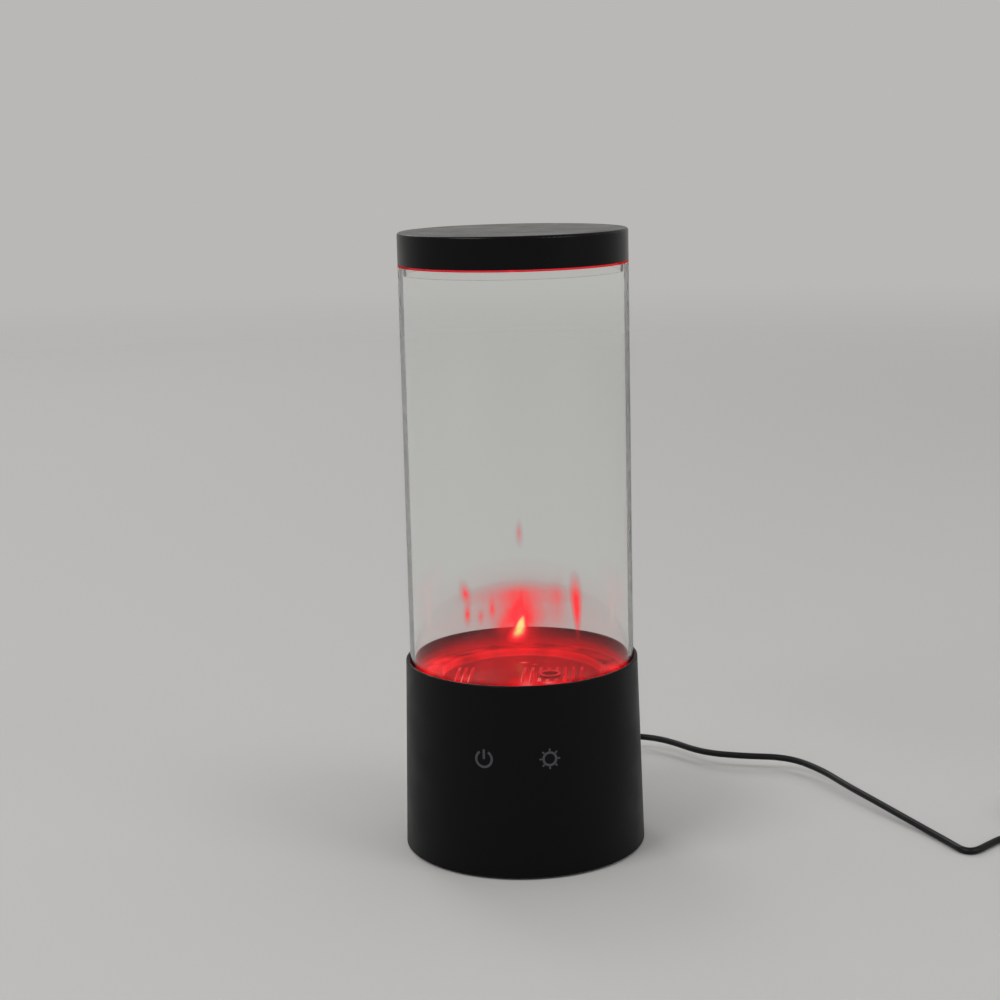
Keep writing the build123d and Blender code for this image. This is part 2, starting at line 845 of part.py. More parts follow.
screw(
    "motor_screws",
    motor_screw_spots,
    carrier_top,
    False,
    motor_screw_length,
    motor_screw_radius,
    motor_screw_head_radius,
    motor_screw_head_height,
)


# Carrier plate: ears under the bosses, standoffs for the lights, ribs round the motor
carrier_screw_spots = [polar(carrier_boss_circle_radius, a) for a in carrier_boss_angles]
standoff_spots = [polar(standoff_circle_radius, a) for a in even_angles(standoff_count, standoff_turn)]
lead_notch_spots = [polar(lead_notch_circle_radius, 0), polar(lead_notch_circle_radius, 180)]
carrier_ear_middle = (carrier_boss_circle_radius + carrier_radius) / 2
carrier_ear_length = carrier_boss_circle_radius - carrier_radius + 2 * carrier_boss_radius + 4 * boss_web
with BuildPart() as motor_carrier:
    with BuildSketch(Plane.XY.offset(carrier_bottom)):
        Circle(carrier_radius)
        with Locations((0, -carrier_radius - carrier_front)):
            Rectangle(2 * carrier_radius, 2 * carrier_radius, mode=Mode.SUBTRACT)
        with Locations(*places(carrier_ear_middle, carrier_boss_angles)):
            SlotOverall(carrier_ear_length, 2 * carrier_boss_radius)
        Circle(inner_radius(carrier_top) - seat_gap, mode=Mode.INTERSECT)
        Circle(bush_radius + slip_gap, mode=Mode.SUBTRACT)
        with Locations(*lead_notch_spots):
            Circle(lead_notch_radius, mode=Mode.SUBTRACT)
    extrude(amount=carrier_thickness)
    with BuildSketch(Plane.XY.offset(carrier_bottom)):
        Circle(carrier_rib_ring + carrier_rib)
        Circle(carrier_rib_ring, mode=Mode.SUBTRACT)
        with PolarLocations(
            (carrier_rib_ring + carrier_front) / 2, carrier_rib_count, start_angle=carrier_rib_turn
        ):
            Rectangle(carrier_front - carrier_rib_ring - carrier_rib, carrier_rib)
    extrude(amount=-carrier_rib_height)
    with BuildSketch(Plane.XY.offset(carrier_top)):
        with Locations(*standoff_spots):
            Circle(standoff_radius)
    extrude(amount=led_board_bottom - carrier_top)
    with BuildSketch(Plane.XY.offset(led_board_bottom)):
        with Locations(*standoff_spots):
            Circle(motor_screw_radius + running_gap)
    extrude(amount=-motor_screw_length, mode=Mode.SUBTRACT)
    with BuildSketch(Plane.XY.offset(carrier_bottom)):
        with Locations(*motor_screw_spots):
            Circle(motor_screw_radius + slip_gap)
        with Locations(*carrier_screw_spots):
            Circle(tapping_radius + slip_gap)
    extrude(amount=carrier_thickness, mode=Mode.SUBTRACT)
save(motor_carrier.part, "motor_carrier")

screw(
    "carrier_screws",
    carrier_screw_spots,
    carrier_bottom,
    True,
    tapping_length,
    tapping_radius,
    tapping_head_radius,
    tapping_head_height,
)


# Ring of lights
with BuildPart() as led_board:
    with BuildSketch(Plane.XY.offset(led_board_bottom)):
        Circle(led_board_radius)
        Circle(led_board_bore, mode=Mode.SUBTRACT)
        with Locations(*standoff_spots):
            Circle(motor_screw_radius + slip_gap, mode=Mode.SUBTRACT)
    extrude(amount=board_thickness)
save(led_board.part, "led_board")

with BuildPart() as leds:
    led_places = places(led_circle_radius, even_angles(led_count, led_turn))
    with BuildSketch(Plane.XY.offset(led_board_top)):
        with Locations(*led_places):
            RectangleRounded(led_side, led_side, led_edge)
    extrude(amount=led_height)
    with BuildSketch(Plane.XY.offset(led_board_top + led_height)):
        with Locations(*led_places):
            Circle(led_lens_radius)
    extrude(amount=-led_lens_depth, mode=Mode.SUBTRACT)
save(leds.part, "leds")


# Main board with its chip, capacitor and wire sockets
with BuildPart() as main_board:
    with BuildSketch(Plane.XY.offset(main_board_bottom)):
        with Locations((0, main_board_centre_y)):
            RectangleRounded(main_board_length, main_board_width, main_board_corner)
        with Locations(*main_screw_spots):
            Circle(motor_screw_radius + slip_gap, mode=Mode.SUBTRACT)
    extrude(amount=board_thickness)
save(main_board.part, "main_board")

with BuildPart() as controller_chip:
    with BuildSketch(Plane.XY.offset(main_board_top)):
        with Locations((chip_x, chip_y)):
            with GridLocations(chip_lead_pitch, chip_width + chip_lead_length, chip_lead_count, 2):
                Rectangle(chip_lead_width, 2 * chip_lead_length)
    extrude(amount=chip_height / 4)
    with BuildSketch(Plane.XY.offset(main_board_top + chip_height / 8)):
        with Locations((chip_x, chip_y)):
            Rectangle(chip_length, chip_width)
    extrude(amount=chip_height)
save(controller_chip.part, "controller_chip")

with BuildPart() as power_capacitor:
    with BuildSketch(Plane.XY.offset(main_board_top)):
        with Locations((capacitor_x, capacitor_y)):
            Circle(capacitor_radius)
    extrude(amount=capacitor_height)
    fillet(power_capacitor.edges().filter_by(GeomType.CIRCLE).group_by(Axis.Z)[-1], capacitor_radius / 6)
save(power_capacitor.part, "power_capacitor")

# Each socket is a box whose mouth faces the wire that enters it, at the given angle.
socket_spots = [
    (0, power_socket_y, 90.0),
    (-side_socket_x, side_socket_y, 180.0),
    (side_socket_x, side_socket_y, 0.0),
    (0, touch_socket_y, 270.0),
]
socket_axis = main_board_top + socket_height / 2
socket_places = [Location((x, y, 0), (0, 0, a)) for x, y, a in socket_spots]
mouth_offset = (socket_width - socket_depth) / 2
mouth_places = [place * Location((mouth_offset, 0, 0)) for place in socket_places]
with BuildPart() as wire_sockets:
    with BuildSketch(Plane.XY.offset(main_board_top)):
        with Locations(*socket_places):
            Rectangle(socket_width, socket_length)
    extrude(amount=socket_height)
    with BuildSketch(Plane.XY.offset(main_board_top + socket_wall)):
        with Locations(*mouth_places):
            Rectangle(socket_depth, socket_length - 2 * socket_wall)
    extrude(amount=socket_height - 2 * socket_wall, mode=Mode.SUBTRACT)
save(wire_sockets.part, "wire_sockets")

with BuildPart() as board_screws:
    for spots, seat in ((standoff_spots, led_board_top), (main_screw_spots, main_board_top)):
        with BuildSketch(Plane.XY.offset(seat)):
            with Locations(*spots):
                Circle(motor_screw_radius)
        extrude(amount=-motor_screw_length)
        with BuildSketch(Plane.XY.offset(seat)):
            with Locations(*spots):
                Circle(motor_screw_head_radius)
        extrude(amount=motor_screw_head_height)
save(board_screws.part, "board_screws")


# Touch board with its two sensor pads, one behind each mark
with BuildPart() as touch_board:
    with BuildSketch(Plane.XY.offset(guide_low)):
        with Locations((0, guide_y)):
            Rectangle(2 * touch_board_half_width, touch_board_thickness)
    extrude(amount=touch_board_height)
save(touch_board.part, "touch_board")

for pad_name, side in (("touch_pad_power", -1), ("touch_pad_light", 1)):
    pad_x = side * inner_radius(touch_height) * math.sin(math.radians(touch_angle))
    with BuildPart() as touch_pad:
        with BuildSketch(Plane.XZ.offset(touch_board_y)):
            with Locations((pad_x, touch_height)):
                Circle(touch_pad_radius)
        extrude(amount=foot_radius - touch_board_y)
        with BuildSketch(Plane.XZ, mode=Mode.PRIVATE) as inside:
            with BuildLine():
                Polyline(
                    (0, 0),
                    (inner_radius(0) - slip_gap, 0),
                    (inner_radius(base_height) - slip_gap, base_height),
                    (0, base_height),
                    close=True,
                )
            make_face()
        revolve(inside.sketch, axis=Axis.Z, mode=Mode.INTERSECT)
    save(touch_pad.part, pad_name)


# Lid and its seal
seat_inner_radius = lid_radius - lid_seat_width
lip_outer_radius = tube_inner_radius - seat_gap
lip_inner_radius = lip_outer_radius - seal_lip
with BuildPart() as lid_cap:
    with BuildSketch(Plane.XY.offset(lid_bottom)):
        Circle(lid_radius)
    extrude(amount=lid_height)
    fillet(lid_cap.edges().filter_by(GeomType.CIRCLE).group_by(Axis.Z)[-1], lid_edge)
    fillet(lid_cap.edges().filter_by(GeomType.CIRCLE).group_by(Axis.Z)[0], lid_foot_edge)
    with BuildSketch(Plane.XY.offset(lid_bottom)):
        Circle(seat_inner_radius)
    extrude(amount=lid_height - lid_top_thickness, mode=Mode.SUBTRACT)
    with BuildSketch(Plane.XY.offset(lid_bottom)):
        Circle(lip_outer_radius + slip_gap)
        Circle(lip_inner_radius - slip_gap, mode=Mode.SUBTRACT)
    extrude(amount=seal_lip_rise + slip_gap, mode=Mode.SUBTRACT)
    with BuildSketch(Plane.XY.offset(lamp_height - lid_top_thickness)):
        Circle(lid_hub_radius)
        with PolarLocations(seat_inner_radius / 2, lid_rib_count):
            Rectangle(seat_inner_radius, lid_rib)
        Circle(seat_inner_radius + lid_rib / 2, mode=Mode.INTERSECT)
    extrude(amount=-lid_rib_height)
save(lid_cap.part, "lid_cap")

with BuildPart() as lid_seal:
    with BuildSketch(Plane.XZ):
        with BuildLine():
            Polyline(
                (seat_inner_radius, tube_top),
                (lip_inner_radius, tube_top),
                (lip_inner_radius, tube_top - seal_lip_drop),
                (lip_outer_radius, tube_top - seal_lip_drop),
                (lip_outer_radius, tube_top),
                (tube_radius, tube_top),
                (tube_radius, lid_bottom),
                (lip_outer_radius, lid_bottom),
                (lip_outer_radius, lid_bottom + seal_lip_rise),
                (lip_inner_radius, lid_bottom + seal_lip_rise),
                (lip_inner_radius, lid_bottom),
                (seat_inner_radius, lid_bottom),
                close=True,
            )
        make_face()
    revolve(axis=Axis.Z)
save(lid_seal.part, "lid_seal")


# Strain relief through the rear wall: two flanges and a ribbed, tapered tail
relief_wall_out = outer_radius(exit_height - relief_flange_radius) + running_gap
relief_wall_in = inner_radius(exit_height + relief_flange_radius)
relief_wall_in = math.sqrt(relief_wall_in**2 - relief_flange_radius**2) - running_gap
relief_in = relief_wall_in - relief_flange_thickness
relief_tail_start = relief_wall_out + relief_flange_thickness
relief_end = relief_tail_start + relief_length
with BuildPart() as strain_relief:
    for start, end, radius in (
        (relief_in, relief_wall_in, relief_flange_radius),
        (relief_wall_in, relief_wall_out, relief_hole_radius - slip_gap),
        (relief_wall_out, relief_tail_start, relief_flange_radius),
    ):
        with BuildSketch(Plane.XZ.offset(-start)):
            with Locations((0, exit_height)):
                Circle(radius)
        extrude(amount=start - end)
    with BuildSketch(Plane.XZ.offset(-relief_tail_start)):
        with Locations((0, exit_height)):
            Circle(relief_root_radius)
    with BuildSketch(Plane.XZ.offset(-relief_end)):
        with Locations((0, exit_height)):
            Circle(relief_tip_radius)
    loft()
    for k in range(relief_groove_count):
        along_share = (k + 1) / (relief_groove_count + 1)
        groove_y = relief_tail_start + along_share * relief_length
        tail_radius = relief_root_radius + along_share * (relief_tip_radius - relief_root_radius)
        with BuildSketch(Plane.XZ.offset(-groove_y)):
            with Locations((0, exit_height)):
                Circle(relief_flange_radius)
                Circle(tail_radius - relief_groove_depth, mode=Mode.SUBTRACT)
        extrude(amount=-relief_groove, mode=Mode.SUBTRACT)
save(strain_relief.part, "strain_relief")


# Coil: a spiral in on the lower layer, a climb in the half turn where it reverses, and a
# spiral out on the upper layer
coil_centre_y = relief_end + coil_from_exit
coil_low = tie_thickness + seat_gap + cord_radius
coil_high = coil_low + coil_layer_pitch
coil_inner = coil_mid_radius - coil_pitch * coil_turns / 4
coil_first_angle = -90.0


def coil_point(turn):
    """Centre of the cord after that many turns."""
    from_middle = turn - coil_turns / 2
    radius = coil_inner + coil_pitch * abs(from_middle)
    climb = min(max(from_middle / coil_climb_turns + 1 / 2, 0.0), 1.0)
    height = coil_low + coil_layer_pitch * (1 - math.cos(math.pi * climb)) / 2
    x, y = polar(radius, coil_first_angle + 360.0 * turn)
    return Vector(coil_centre_x + x, coil_centre_y + y, height)


def coil_direction(turn):
    """Direction of the cord there; square to the radius at both ends, where it runs on straight."""
    if turn <= 0 or turn >= coil_turns:
        return Vector(*polar(1, coil_first_angle + 90.0 + 360.0 * turn))
    step = 0.01
    return (coil_point(turn + step) - coil_point(turn - step)).normalized()


def biarc(start, start_way, end, end_way):
    """Two arcs that leave start and reach end in the given directions and meet smoothly between."""
    across = end - start
    ways = start_way + end_way
    spread = 2 * (1 - start_way.dot(end_way))
    reach = (math.sqrt(across.dot(ways) ** 2 + spread * across.dot(across)) - across.dot(ways)) / spread
    near = start + start_way * reach
    far = end - end_way * reach
    middle = (near + far) / 2
    TangentArc(start, middle, tangent=start_way)
    TangentArc(middle, end, tangent=(far - near).normalized())


climb_start = (coil_turns - coil_climb_turns) / 2
spiral_steps = round(climb_start / coil_biarc_turns)
coil_knots = [climb_start * k / spiral_steps for k in range(spiral_steps + 1)]
coil_knots += [coil_turns / 2]
coil_knots += [coil_turns - t for t in reversed(coil_knots[:-1])]
coil_start = coil_point(0) - coil_direction(0) * 2 * cord_radius
coil_end = coil_point(coil_turns) + coil_direction(coil_turns) * 2 * cord_radius
with BuildPart() as cord_coil:
    with BuildLine() as coil_path:
        Line(coil_start, coil_point(0))
        for here, there in zip(coil_knots, coil_knots[1:]):
            biarc(coil_point(here), coil_direction(here), coil_point(there), coil_direction(there))
        Line(coil_point(coil_turns), coil_end)
    with BuildSketch(Plane(origin=coil_start, z_dir=coil_direction(0))):
        Circle(cord_radius)
    coil_wire = coil_path.wire()
    sweep(path=coil_wire)
save(cord_coil.part, "cord_coil")

# Least gap of the coil to itself, on points along it more than half a turn apart
coil_length = coil_wire.length
sample_count = round(coil_length / cord_radius)
samples = [coil_wire @ (k / sample_count) for k in range(sample_count + 1)]
skip = round(math.pi * coil_inner / (coil_length / sample_count))
coil_least = min(
    (samples[i] - samples[j]).length
    for i in range(len(samples))
    for j in range(i + skip, len(samples))
)
print("cord_coil turns", coil_turns, "least gap to itself", round(coil_least - 2 * cord_radius, 3))
report_tube("cord_coil", coil_length, cord_radius, cord_coil.part.volume)


# Lead from the strain relief to the coil, and its short tail from the coil to the plug
lead_points = [(0, relief_end, exit_height)]
lead_points += [(x, relief_end + y, z) for x, y, z in lead_route]
lead_points += [(coil_start.X - coil_entry, coil_start.Y, coil_start.Z), tuple(coil_start)]
save(tube_along(lead_points, cord_radius, "cord_lead"), "cord_lead")

plug_height = plug_body_thickness / 2
plug_start = coil_end.Y + plug_relief_length + plug_body_length
tail_step = (plug_start - coil_end.Y) / 4
tail_points = [
    tuple(coil_end),
    (coil_end.X, coil_end.Y + tail_step, coil_end.Z),
    (coil_end.X + cord_radius, coil_end.Y + 2 * tail_step, (coil_end.Z + plug_height) / 2),
    (coil_end.X, coil_end.Y + 3 * tail_step, plug_height),
    (coil_end.X, plug_start, plug_height),
]
save(tube_along(tail_points, cord_radius, "cord_tail"), "cord_tail")


# Tie: a flat strap round the coil's section, clear of the turns that pass through it
tie_turn = (tie_angle - coil_first_angle) / 360.0
tie_radii = [
    coil_inner + coil_pitch * abs(tie_turn + k - coil_turns / 2)
    for k in range(math.floor(coil_turns - tie_turn) + 1)
]
tie_inner = math.sqrt((min(tie_radii) - cord_radius) ** 2 - (tie_width / 2) ** 2) - 2 * seat_gap
tie_outer = max(tie_radii) + cord_radius + 2 * seat_gap
tie_top = coil_high + cord_radius + seat_gap
tie_origin = (coil_centre_x, coil_centre_y, 0)
tie_plane = Plane(origin=tie_origin, x_dir=(*polar(1, tie_angle), 0), z_dir=(*polar(1, tie_angle - 90.0), 0))
with BuildPart() as coil_tie:
    with BuildSketch(tie_plane.offset(-tie_width / 2)):
        with Locations(((tie_inner + tie_outer) / 2, (tie_thickness + tie_top) / 2)):
            RectangleRounded(
                tie_outer - tie_inner + 2 * tie_thickness,
                tie_top - tie_thickness + 2 * tie_thickness,
                tie_corner + tie_thickness,
            )
            RectangleRounded(tie_outer - tie_inner, tie_top - tie_thickness, tie_corner, mode=Mode.SUBTRACT)
    extrude(amount=tie_width)
save(coil_tie.part, "coil_tie")


# Plug: moulded body with grip ridges, steel shell and contact tongue
plug_x = coil_end.X
body_start = plug_start + plug_relief_length
body_end = body_start + plug_body_length
with BuildPart() as usb_plug_body:
    with BuildSketch(Plane.XZ.offset(-body_start)):
        with Locations((plug_x, plug_height)):
            RectangleRounded(plug_body_width, plug_body_thickness, plug_body_corner)
    extrude(amount=-plug_body_length)
    with BuildSketch(Plane.XZ.offset(-plug_start)):
        with Locations((plug_x, plug_height)):
            Circle(plug_relief_tip_radius)
    with BuildSketch(Plane.XZ.offset(-body_start)):
        with Locations((plug_x, plug_height)):
            Circle(plug_relief_radius)
    loft()
    with BuildSketch(Plane.XY.offset(plug_body_thickness - plug_grip_depth)):
        with Locations((plug_x, body_start + plug_body_length / 2)):
            with GridLocations(2 * plug_grip_width, 2 * plug_grip_width, 1, plug_grip_count):
                Rectangle(plug_body_width * plug_grip_share, plug_grip_width)
    extrude(amount=plug_grip_depth + overrun, mode=Mode.SUBTRACT)
save(usb_plug_body.part, "usb_plug_body")

with BuildPart() as usb_plug_shell:
    with BuildSketch(Plane.XZ.offset(-body_end)):
        with Locations((plug_x, plug_height)):
            Rectangle(shell_width, shell_thickness)
            Rectangle(shell_width - 2 * shell_wall, shell_thickness - 2 * shell_wall, mode=Mode.SUBTRACT)
    extrude(amount=-shell_length)
    with BuildSketch(Plane.XY.offset(plug_height)):
        with Locations((plug_x, body_end + shell_length - shell_window_from_tip)):
            with GridLocations(shell_width / 2, shell_width / 2, 2, 1):
                Rectangle(shell_window, shell_window)
    extrude(amount=shell_thickness, both=True, mode=Mode.SUBTRACT)
save(usb_plug_shell.part, "usb_plug_shell")

with BuildPart() as usb_plug_tongue:
    with BuildSketch(Plane.XZ.offset(-body_end)):
        with Locations((plug_x, plug_height - shell_thickness / 2 + shell_wall + tongue_thickness / 2)):
            Rectangle(shell_width - 2 * shell_wall, tongue_thickness)
    extrude(amount=tongue_inset - shell_length)
save(usb_plug_tongue.part, "usb_plug_tongue")


# Lead inside the base, from the strain relief to its socket
inner_lead_end = power_socket_y + socket_width / 2 - socket_depth
inner_run = (relief_in - inner_lead_end) / 3
inner_points = [
    (0, relief_in, exit_height),
    (0, relief_in - inner_run, exit_height),
    (0, inner_lead_end + inner_run, socket_axis),
    (0, inner_lead_end, socket_axis),
]
save(tube_along(inner_points, cord_radius, "inner_lead"), "inner_lead")


# Wires to the motor's terminals, to the ring of lights and to the touch board, two to each
side_mouth = side_socket_x + socket_width / 2
touch_mouth = socket_width / 2 - touch_socket_y
terminal_level = motor_bottom - end_cap_thickness - terminal_length / 2
terminal_out = terminal_spread + terminal_thickness / 2
terminal_in = terminal_spread - terminal_thickness / 2
climb = wire_climb(side_mouth, carrier_radius - motor_wire_inset, socket_axis, terminal_level)
motor_routes = []
for side in (-1, 1):
    wire_y = side_socket_y + side * wire_spread / 2
    points = [(socket_depth - side_mouth, wire_y, socket_axis)]
    points += [(-out, wire_y, up) for out, up in climb]
    points += [(-side_mouth - wire_step - wire_radius, wire_y, terminal_level - wire_radius)]
    if side > 0:
        points += [(-terminal_out - 2 * wire_step, -wire_radius, terminal_level)]
        points += [(-terminal_out - wire_step, 0, terminal_level), (-terminal_out, 0, terminal_level)]
    else:
        points += [(terminal_in - 3 * wire_step, side_socket_y - wire_spread / 2, terminal_level)]
        points += [(terminal_in - 2 * wire_step, -terminal_width / 2 - wire_pass, terminal_level)]
        points += [(terminal_in - wire_step, 0, terminal_level), (terminal_in, 0, terminal_level)]
    motor_routes.append(points)
save_wires(motor_routes, "motor_wires")

light_rise = carrier_radius - light_wire_inset
light_climb = wire_climb(side_mouth, light_rise, socket_axis, led_board_bottom)[:-1]
light_routes = []
for side in (-1, 1):
    wire_y = side_socket_y + side * wire_spread / 2
    points = [(side_mouth - socket_depth, wire_y, socket_axis)]
    for (out, up), across in zip(light_climb, wire_up_shares):
        points.append((out, wire_y - side_socket_y * across, up))
    points += [(light_rise, side * wire_spread / 2, led_board_bottom - wire_end_run)]
    points += [(light_rise, side * wire_spread / 2, led_board_bottom)]
    light_routes.append(points)
save_wires(light_routes, "light_wires")

touch_rise = touch_board_y - touch_wire_room
touch_back = touch_board_y - touch_board_thickness
touch_level = guide_low + touch_wire_rise
touch_routes = []
for side in (-1, 1):
    wire_x = side * wire_spread / 2
    points = [(wire_x, socket_depth - touch_mouth, socket_axis)]
    points += [(wire_x, -out, up) for out, up in wire_climb(touch_mouth, touch_rise, socket_axis, touch_level)]
    points += [(wire_x, -touch_rise + wire_radius, touch_level), (wire_x, -touch_back, touch_level)]
    touch_routes.append(points)
save_wires(touch_routes, "touch_wires")
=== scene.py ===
import math

import bmesh
import bpy
from mathutils import Matrix, Vector


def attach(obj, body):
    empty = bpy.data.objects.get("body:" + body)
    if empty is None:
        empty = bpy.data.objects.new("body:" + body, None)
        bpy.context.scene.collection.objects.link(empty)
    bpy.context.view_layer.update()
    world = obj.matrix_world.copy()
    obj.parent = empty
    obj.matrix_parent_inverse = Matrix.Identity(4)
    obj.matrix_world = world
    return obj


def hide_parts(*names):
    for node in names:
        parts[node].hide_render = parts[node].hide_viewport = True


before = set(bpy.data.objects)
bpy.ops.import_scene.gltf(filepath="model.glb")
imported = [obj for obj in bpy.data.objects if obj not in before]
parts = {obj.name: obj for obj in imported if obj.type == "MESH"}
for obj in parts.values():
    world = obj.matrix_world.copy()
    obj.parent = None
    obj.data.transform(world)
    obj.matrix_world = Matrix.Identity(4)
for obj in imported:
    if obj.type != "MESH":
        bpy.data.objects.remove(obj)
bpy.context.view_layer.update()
scene = bpy.context.scene
scene.view_settings.view_transform = "Standard"
print("frame loaded with", len(parts), "parts")


def mm(value):  # millimetres to Blender's metres
    return value * 0.001


def hexColour(code):  # sRGB hex to the linear values that sockets take
    def linear(share):
        return share / 12.92 if share <= 0.04045 else ((share + 0.055) / 1.055) ** 2.4
    channels = [int(code[i:i + 2], 16) / 255 for i in (1, 3, 5)]
    return (*[linear(c) for c in channels], 1.0)


def addNode(tree, kind, settings=None, links=None):  # settings are attributes or inputs, links are inputs
    node = tree.nodes.new(kind)
    for key, value in (settings or {}).items():
        if isinstance(key, str) and hasattr(node, key):
            setattr(node, key, value)
        else:
            node.inputs[key].default_value = value
    for key, source in (links or {}).items():
        tree.links.new(source, node.inputs[key])
    return node


materials = {}  # each one by its name


def newMaterial(name):  # its tree with nothing but the output
    material = bpy.data.materials.new(name)
    material.use_nodes = True
    tree = material.node_tree
    tree.nodes.clear()
    output = addNode(tree, "ShaderNodeOutputMaterial")
    materials[name] = material
    return tree, output


def perFeature(size):  # texture scale for a feature of that many millimetres
    return 1.0 / mm(size)


def finishPiece(name, piece):
    piece.data.materials.clear()
    piece.data.materials.append(materials[name])


# Camera, worked out from the rims, the foot and the lid. Angles are in radians.
photoCamera = {
    "place": (mm(50.46), mm(-837.08), mm(311.64)),
    "turnLeft": 0.0695,
    "lookDown": 0.189,
    "roll": -0.024,
    "lens": 72.0,
    "sensor": 36.0,
}


def makeCamera(spec):
    camera = bpy.data.objects.new("camera", bpy.data.cameras.new("camera"))
    scene.collection.objects.link(camera)
    camera.data.lens = spec["lens"]
    camera.data.sensor_width = spec["sensor"]
    turn = Matrix.Rotation(spec["turnLeft"], 4, "Z")
    nod = Matrix.Rotation(math.pi / 2 - spec["lookDown"], 4, "X")
    roll = Matrix.Rotation(spec["roll"], 4, "Z")
    camera.matrix_world = Matrix.Translation(spec["place"]) @ turn @ nod @ roll
    scene.camera = camera


makeCamera(photoCamera)
print("camera placed")

# Lead: straight out of the strain relief, round to the right, down to the table, through its
# kink, then wound for storage with the plug beside the coil. Millimetres, as in the solid.
lead = {
    "radius": 1.5,
    "start": (0.0, 66.5, 14.0),
    "route": [
        (0.0, 73.5, 14.0),
        (2.0, 83.0, 13.4),
        (7.5, 96.0, 11.9),
        (17.0, 110.0, 9.8),
        (32.0, 121.5, 7.7),
        (51.0, 124.3, 6.4),
        (64.5, 117.5, 6.4),
        (80.5, 97.0, 6.8),
        (100.0, 91.8, 6.6),
        (122.0, 91.2, 6.1),
        (136.0, 74.5, 5.5),
        (146.0, 53.0, 4.9),
        (156.0, 35.5, 4.1),
        (166.5, 17.2, 3.0),
        (176.5, 0.5, 1.8),
        (183.2, -12.5, 1.55),
        (187.0, -21.2, 1.55),
        (192.0, -21.8, 1.55),
        (198.0, -14.8, 1.55),
        (206.5, -5.5, 1.6),
        (217.0, -2.9, 1.9),
    ],
    "coilCentre": (242.0, 22.0),
    "coilMidRadius": 18.0,
    "coilTurns": 7.25,
    "coilPitch": 3.5,
    "coilLow": 2.3,  # centre of the lower layer
    "layerPitch": 3.5,
    "climbTurns": 0.5,
    "firstAngle": -90.0,
    "coilEntry": 11.0,
    "pointsPerTurn": 16,
    "tailLength": 30.0,
    "plugHeight": 4.2,
    "stepsPerPoint": 6,
    "roundSteps": 5,
    "length": 1.215,  # metres of lead in all
}


def coilPoint(spec, turn):  # centre of the lead after that many turns: in, up a layer, and out again
    fromMiddle = turn - spec["coilTurns"] / 2
    inner = spec["coilMidRadius"] - spec["coilPitch"] * spec["coilTurns"] / 4
    radius = inner + spec["coilPitch"] * abs(fromMiddle)
    climb = min(max(fromMiddle / spec["climbTurns"] + 0.5, 0.0), 1.0)
    height = spec["coilLow"] + spec["layerPitch"] * (1 - math.cos(math.pi * climb)) / 2
    angle = math.radians(spec["firstAngle"] + 360.0 * turn)
    x, y = spec["coilCentre"]
    return Vector((x + radius * math.cos(angle), y + radius * math.sin(angle), height))


def leadPoints(spec):
    first, last = coilPoint(spec, 0.0), coilPoint(spec, spec["coilTurns"])
    run = 2 * spec["radius"]  # straight before and after the turns
    coilStart = first - Vector((run, 0, 0))
    coilEnd = last + Vector((0, run, 0))
    points = [Vector(spec["start"])] + [Vector(p) for p in spec["route"]]
    points += [coilStart - Vector((spec["coilEntry"], 0, 0)), coilStart]
    steps = round(spec["coilTurns"] * spec["pointsPerTurn"])
    points += [coilPoint(spec, spec["coilTurns"] * k / steps) for k in range(steps + 1)]
    points += [coilEnd]
    step = spec["tailLength"] / 4
    middle = (coilEnd.z + spec["plugHeight"]) / 2  # half way down to the plug
    points += [
        coilEnd + Vector((0, step, 0)),
        Vector((coilEnd.x + spec["radius"], coilEnd.y + 2 * step, middle)),
        Vector((coilEnd.x, coilEnd.y + 3 * step, spec["plugHeight"])),
        Vector((coilEnd.x, coilEnd.y + 4 * step, spec["plugHeight"])),
    ]
    return points


def makeLead(spec):
    curve = bpy.data.curves.new("lead", "CURVE")
    curve.dimensions = "3D"
    points = leadPoints(spec)
    spline = curve.splines.new("NURBS")
    spline.points.add(len(points) - 1)
    for point, place in zip(spline.points, points):
        point.co = (*[mm(v) for v in place], 1.0)
        point.radius = mm(spec["radius"])
    spline.order_u = 3
    spline.use_endpoint_u = True
    spline.resolution_u = spec["stepsPerPoint"]
    curve.bevel_depth = 1.0  # times each point's radius
    curve.bevel_resolution = spec["roundSteps"]
    curve.use_fill_caps = True
    piece = bpy.data.objects.new("lead", curve)
    scene.collection.objects.link(piece)
    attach(piece, "lamp")
    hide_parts("cord_lead", "cord_coil", "cord_tail")
    return piece


leadPiece = makeLead(lead)
print("lead laid")

# Stage: a pale floor that fades into a backdrop of the same colour, and soft studio light. Metres.
studio = {
    "pale": "#b9b8b6",
    "floorColour": "#bab9b7",
    "floorRough": 0.8,
    "floorSpecular": 0.15,
    "floorRadius": 4.0,
    "floorSides": 96,
    "floorHeight": mm(-0.02),  # just under the feet
    "fadeFrom": 0.9,
    "fadeTo": 3.0,
    "worldStrength": 0.6,
    "lamps": [
        # name, place, aimed at, width, height, watts
        ("keySoftbox", (-1.35, -1.25, 1.7), (0, 0, 0.1), 1.1, 1.1, 22.0),
        ("fillSoftbox", (1.6, -0.9, 1.1), (0, 0, 0.12), 0.9, 1.3, 9.0),
        ("rearSoftbox", (-0.9, 1.7, 1.6), (0, 0, 0.14), 0.8, 1.2, 9.0),
    ],
}


